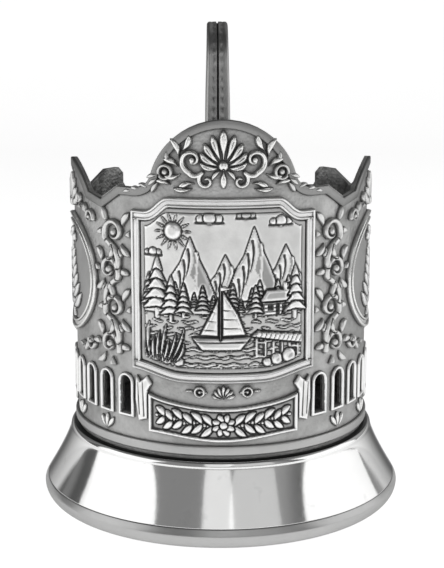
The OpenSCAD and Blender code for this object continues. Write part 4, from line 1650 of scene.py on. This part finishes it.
@dataclass
class Studio:
    """The floor, backdrop, lamps and camera, and the room's greys by azimuth."""

    lamps: Sequence[Softbox] = (
        Softbox("left_softbox", -76, 19, 620, 605, 470, 0.96),
        Softbox("right_softbox", 89, 19, 620, 660, 470, 0.95),
        Softbox("front_strip", -3, 31, 620, 196, 540, 0.55),
        Softbox("front_fill", 23, 31, 660, 350, 540, 0.32),
    )
    aim_z: float = 40.0
    room: Sequence[Point] = (
        (-180, 0.30), (-119, 0.24), (-114, 0.10), (-104, 0.10), (-101, 0.30), (-49, 0.30), (-46, 0.25),
        (-16, 0.25), (-12, 0.34), (38, 0.34), (46, 0.30), (53, 0.20), (59, 0.13), (61, 0.30), (118, 0.30),
        (123, 0.34), (131, 0.44), (150, 0.50), (180, 0.34))
    overhead: float = 0.3
    glow: float = 0.8
    backdrop_dim: Point = (0.16, 0.5)
    camera_at: tuple[float, float, float] = (-5.53, -329.95, 121.57)
    camera_heading: Point = (0.01766, 0.99984)
    camera_pitch: float = 12.1
    lens: float = 88.79

    def floor_material(self) -> Material:
        """White for the camera and in reflections, and shaded by the holder.

        Returns:
            The material.
        """
        material = bpy.data.materials.new("white_paper_floor")
        material.use_nodes = True
        g = Graph(material.node_tree)
        path = g.node("ShaderNodeLightPath")
        seen = g.math("MAXIMUM", path.outputs["Is Camera Ray"], path.outputs["Is Glossy Ray"])
        seen = g.math("MAXIMUM", seen, path.outputs["Is Transmission Ray"])
        place = g.node("ShaderNodeTexCoord").outputs["Object"]
        across, _, height = g.node("ShaderNodeSeparateXYZ", place).outputs
        dim = g.spread(across, -0.2, 0.2, *self.backdrop_dim)
        upper = g.spread(height, 0.115, 0.22)
        dimmed = g.math("MULTIPLY", upper, g.math("SUBTRACT", 1.0, dim))
        seen = g.math("MULTIPLY", seen, g.math("SUBTRACT", 1.0, dimmed))
        paper = g.noise(place, 30.0, 3.0, 0.5)
        white = g.blend(paper, (0.80, 0.80, 0.80), (0.84, 0.84, 0.84))
        white = g.blend(upper, white, (0.12, 0.12, 0.12))
        glow = g.node("ShaderNodeEmission", Strength=g.math("MULTIPLY", seen, self.glow))
        matt = g.node("ShaderNodeBsdfDiffuse", Color=white)
        both = g.node("ShaderNodeAddShader", glow.outputs[0], matt.outputs[0])
        g.node("ShaderNodeOutputMaterial", Surface=both.outputs[0])
        return material

    def sweep(self) -> None:
        """Makes the floor that curves up into the backdrop."""
        curve = arc_path((700, 500), 500, math.degrees(0.1) - 90, 0, 15)
        profile = [(-1400.0, 0.0), (700.0, 0.0), *curve, (1200.0, 1600.0)]
        points = [(x * MM, y * MM, z * MM) for x in (-1800, 1800) for y, z in profile]
        size = len(profile)
        faces = [(k, size + k, size + k + 1, k + 1) for k in range(size - 1)]
        mesh = bpy.data.meshes.new("paper_sweep")
        mesh.from_pydata(points, [], faces)
        mesh.polygons.foreach_set("use_smooth", [True] * len(faces))
        mesh.materials.append(self.floor_material())
        placed("paper_sweep", mesh)

    def light(self) -> None:
        """Hangs the lamps."""
        for lamp in self.lamps:
            data = bpy.data.lights.new(lamp.name, "AREA")
            data.shape = "RECTANGLE"
            data.size = lamp.width * MM
            data.size_y = lamp.height * MM
            data.energy = math.pi * data.size * data.size_y * lamp.radiance
            turn, rise = math.radians(lamp.azimuth), math.radians(lamp.elevation)
            flat = lamp.distance * math.cos(rise)
            spot = Vector((flat * math.sin(turn), -flat * math.cos(turn),
                           self.aim_z + lamp.distance * math.sin(rise))) * MM
            holder = placed(lamp.name, data)
            holder.location = spot
            aim = Vector((0, 0, self.aim_z * MM)) - spot
            holder.rotation_euler = aim.to_track_quat("-Z", "Y").to_euler()

    def surround(self) -> None:
        """Sets the room's greys by azimuth, darker overhead."""
        world = bpy.data.worlds.new("studio_world")
        world.use_nodes = True
        g = Graph(world.node_tree)
        way = g.node("ShaderNodeTexCoord").outputs["Generated"]
        parts = g.node("ShaderNodeSeparateXYZ", way).outputs
        turn = g.math("ARCTAN2", parts["X"], g.math("MULTIPLY", parts["Y"], -1.0))
        share = g.math("MULTIPLY_ADD", turn, 0.5 / math.pi, 0.5)
        ramp = g.node("ShaderNodeValToRGB", Fac=share)
        stops = ramp.color_ramp.elements
        for place, (azimuth, grey) in enumerate(self.room):
            turn_share = (azimuth + 180) / 360
            stop = stops.new(turn_share) if place else stops[0]
            stop.position = turn_share
            stop.color = (grey, grey, grey, 1)
        stops.remove(stops[len(stops) - 1])
        zenith = g.spread(parts["Z"], 0.72, 0.92, 1.0, self.overhead)
        shade = g.node("ShaderNodeBackground", Color=ramp.outputs[0], Strength=zenith)
        g.node("ShaderNodeOutputWorld", Surface=shade.outputs[0])
        bpy.context.scene.world = world

    def camera(self) -> None:
        """Sets the camera at the photograph's viewpoint."""
        data = bpy.data.cameras.new("photo_camera")
        data.lens = self.lens
        data.sensor_width = 36.0
        data.clip_start = 0.01
        data.clip_end = 20.0
        pitch = math.radians(self.camera_pitch)
        x, y = [part * math.cos(pitch) for part in self.camera_heading]
        holder = placed("photo_camera", data)
        holder.location = Vector(self.camera_at) * MM
        holder.rotation_euler = Vector((x, y, -math.sin(pitch))).to_track_quat("-Z", "Y").to_euler()
        bpy.context.scene.camera = holder

    def build(self) -> None:
        """Sets up the whole studio."""
        self.sweep()
        self.light()
        self.surround()
        self.camera()
        bpy.context.scene.view_settings.view_transform = "Standard"


def main() -> None:
    """Builds the holder and its studio in order."""
    logging.basicConfig(level=logging.INFO, format="%(message)s")
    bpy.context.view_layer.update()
    for part in (Cup(), Foot(), FrontPanel(), Ribbon(), Crest(), SideFlank(True), SideFlank(False),
                 BaseLeaves(), Handle(), Studio()):
        part.build()


if __name__ == "__main__":
    main()
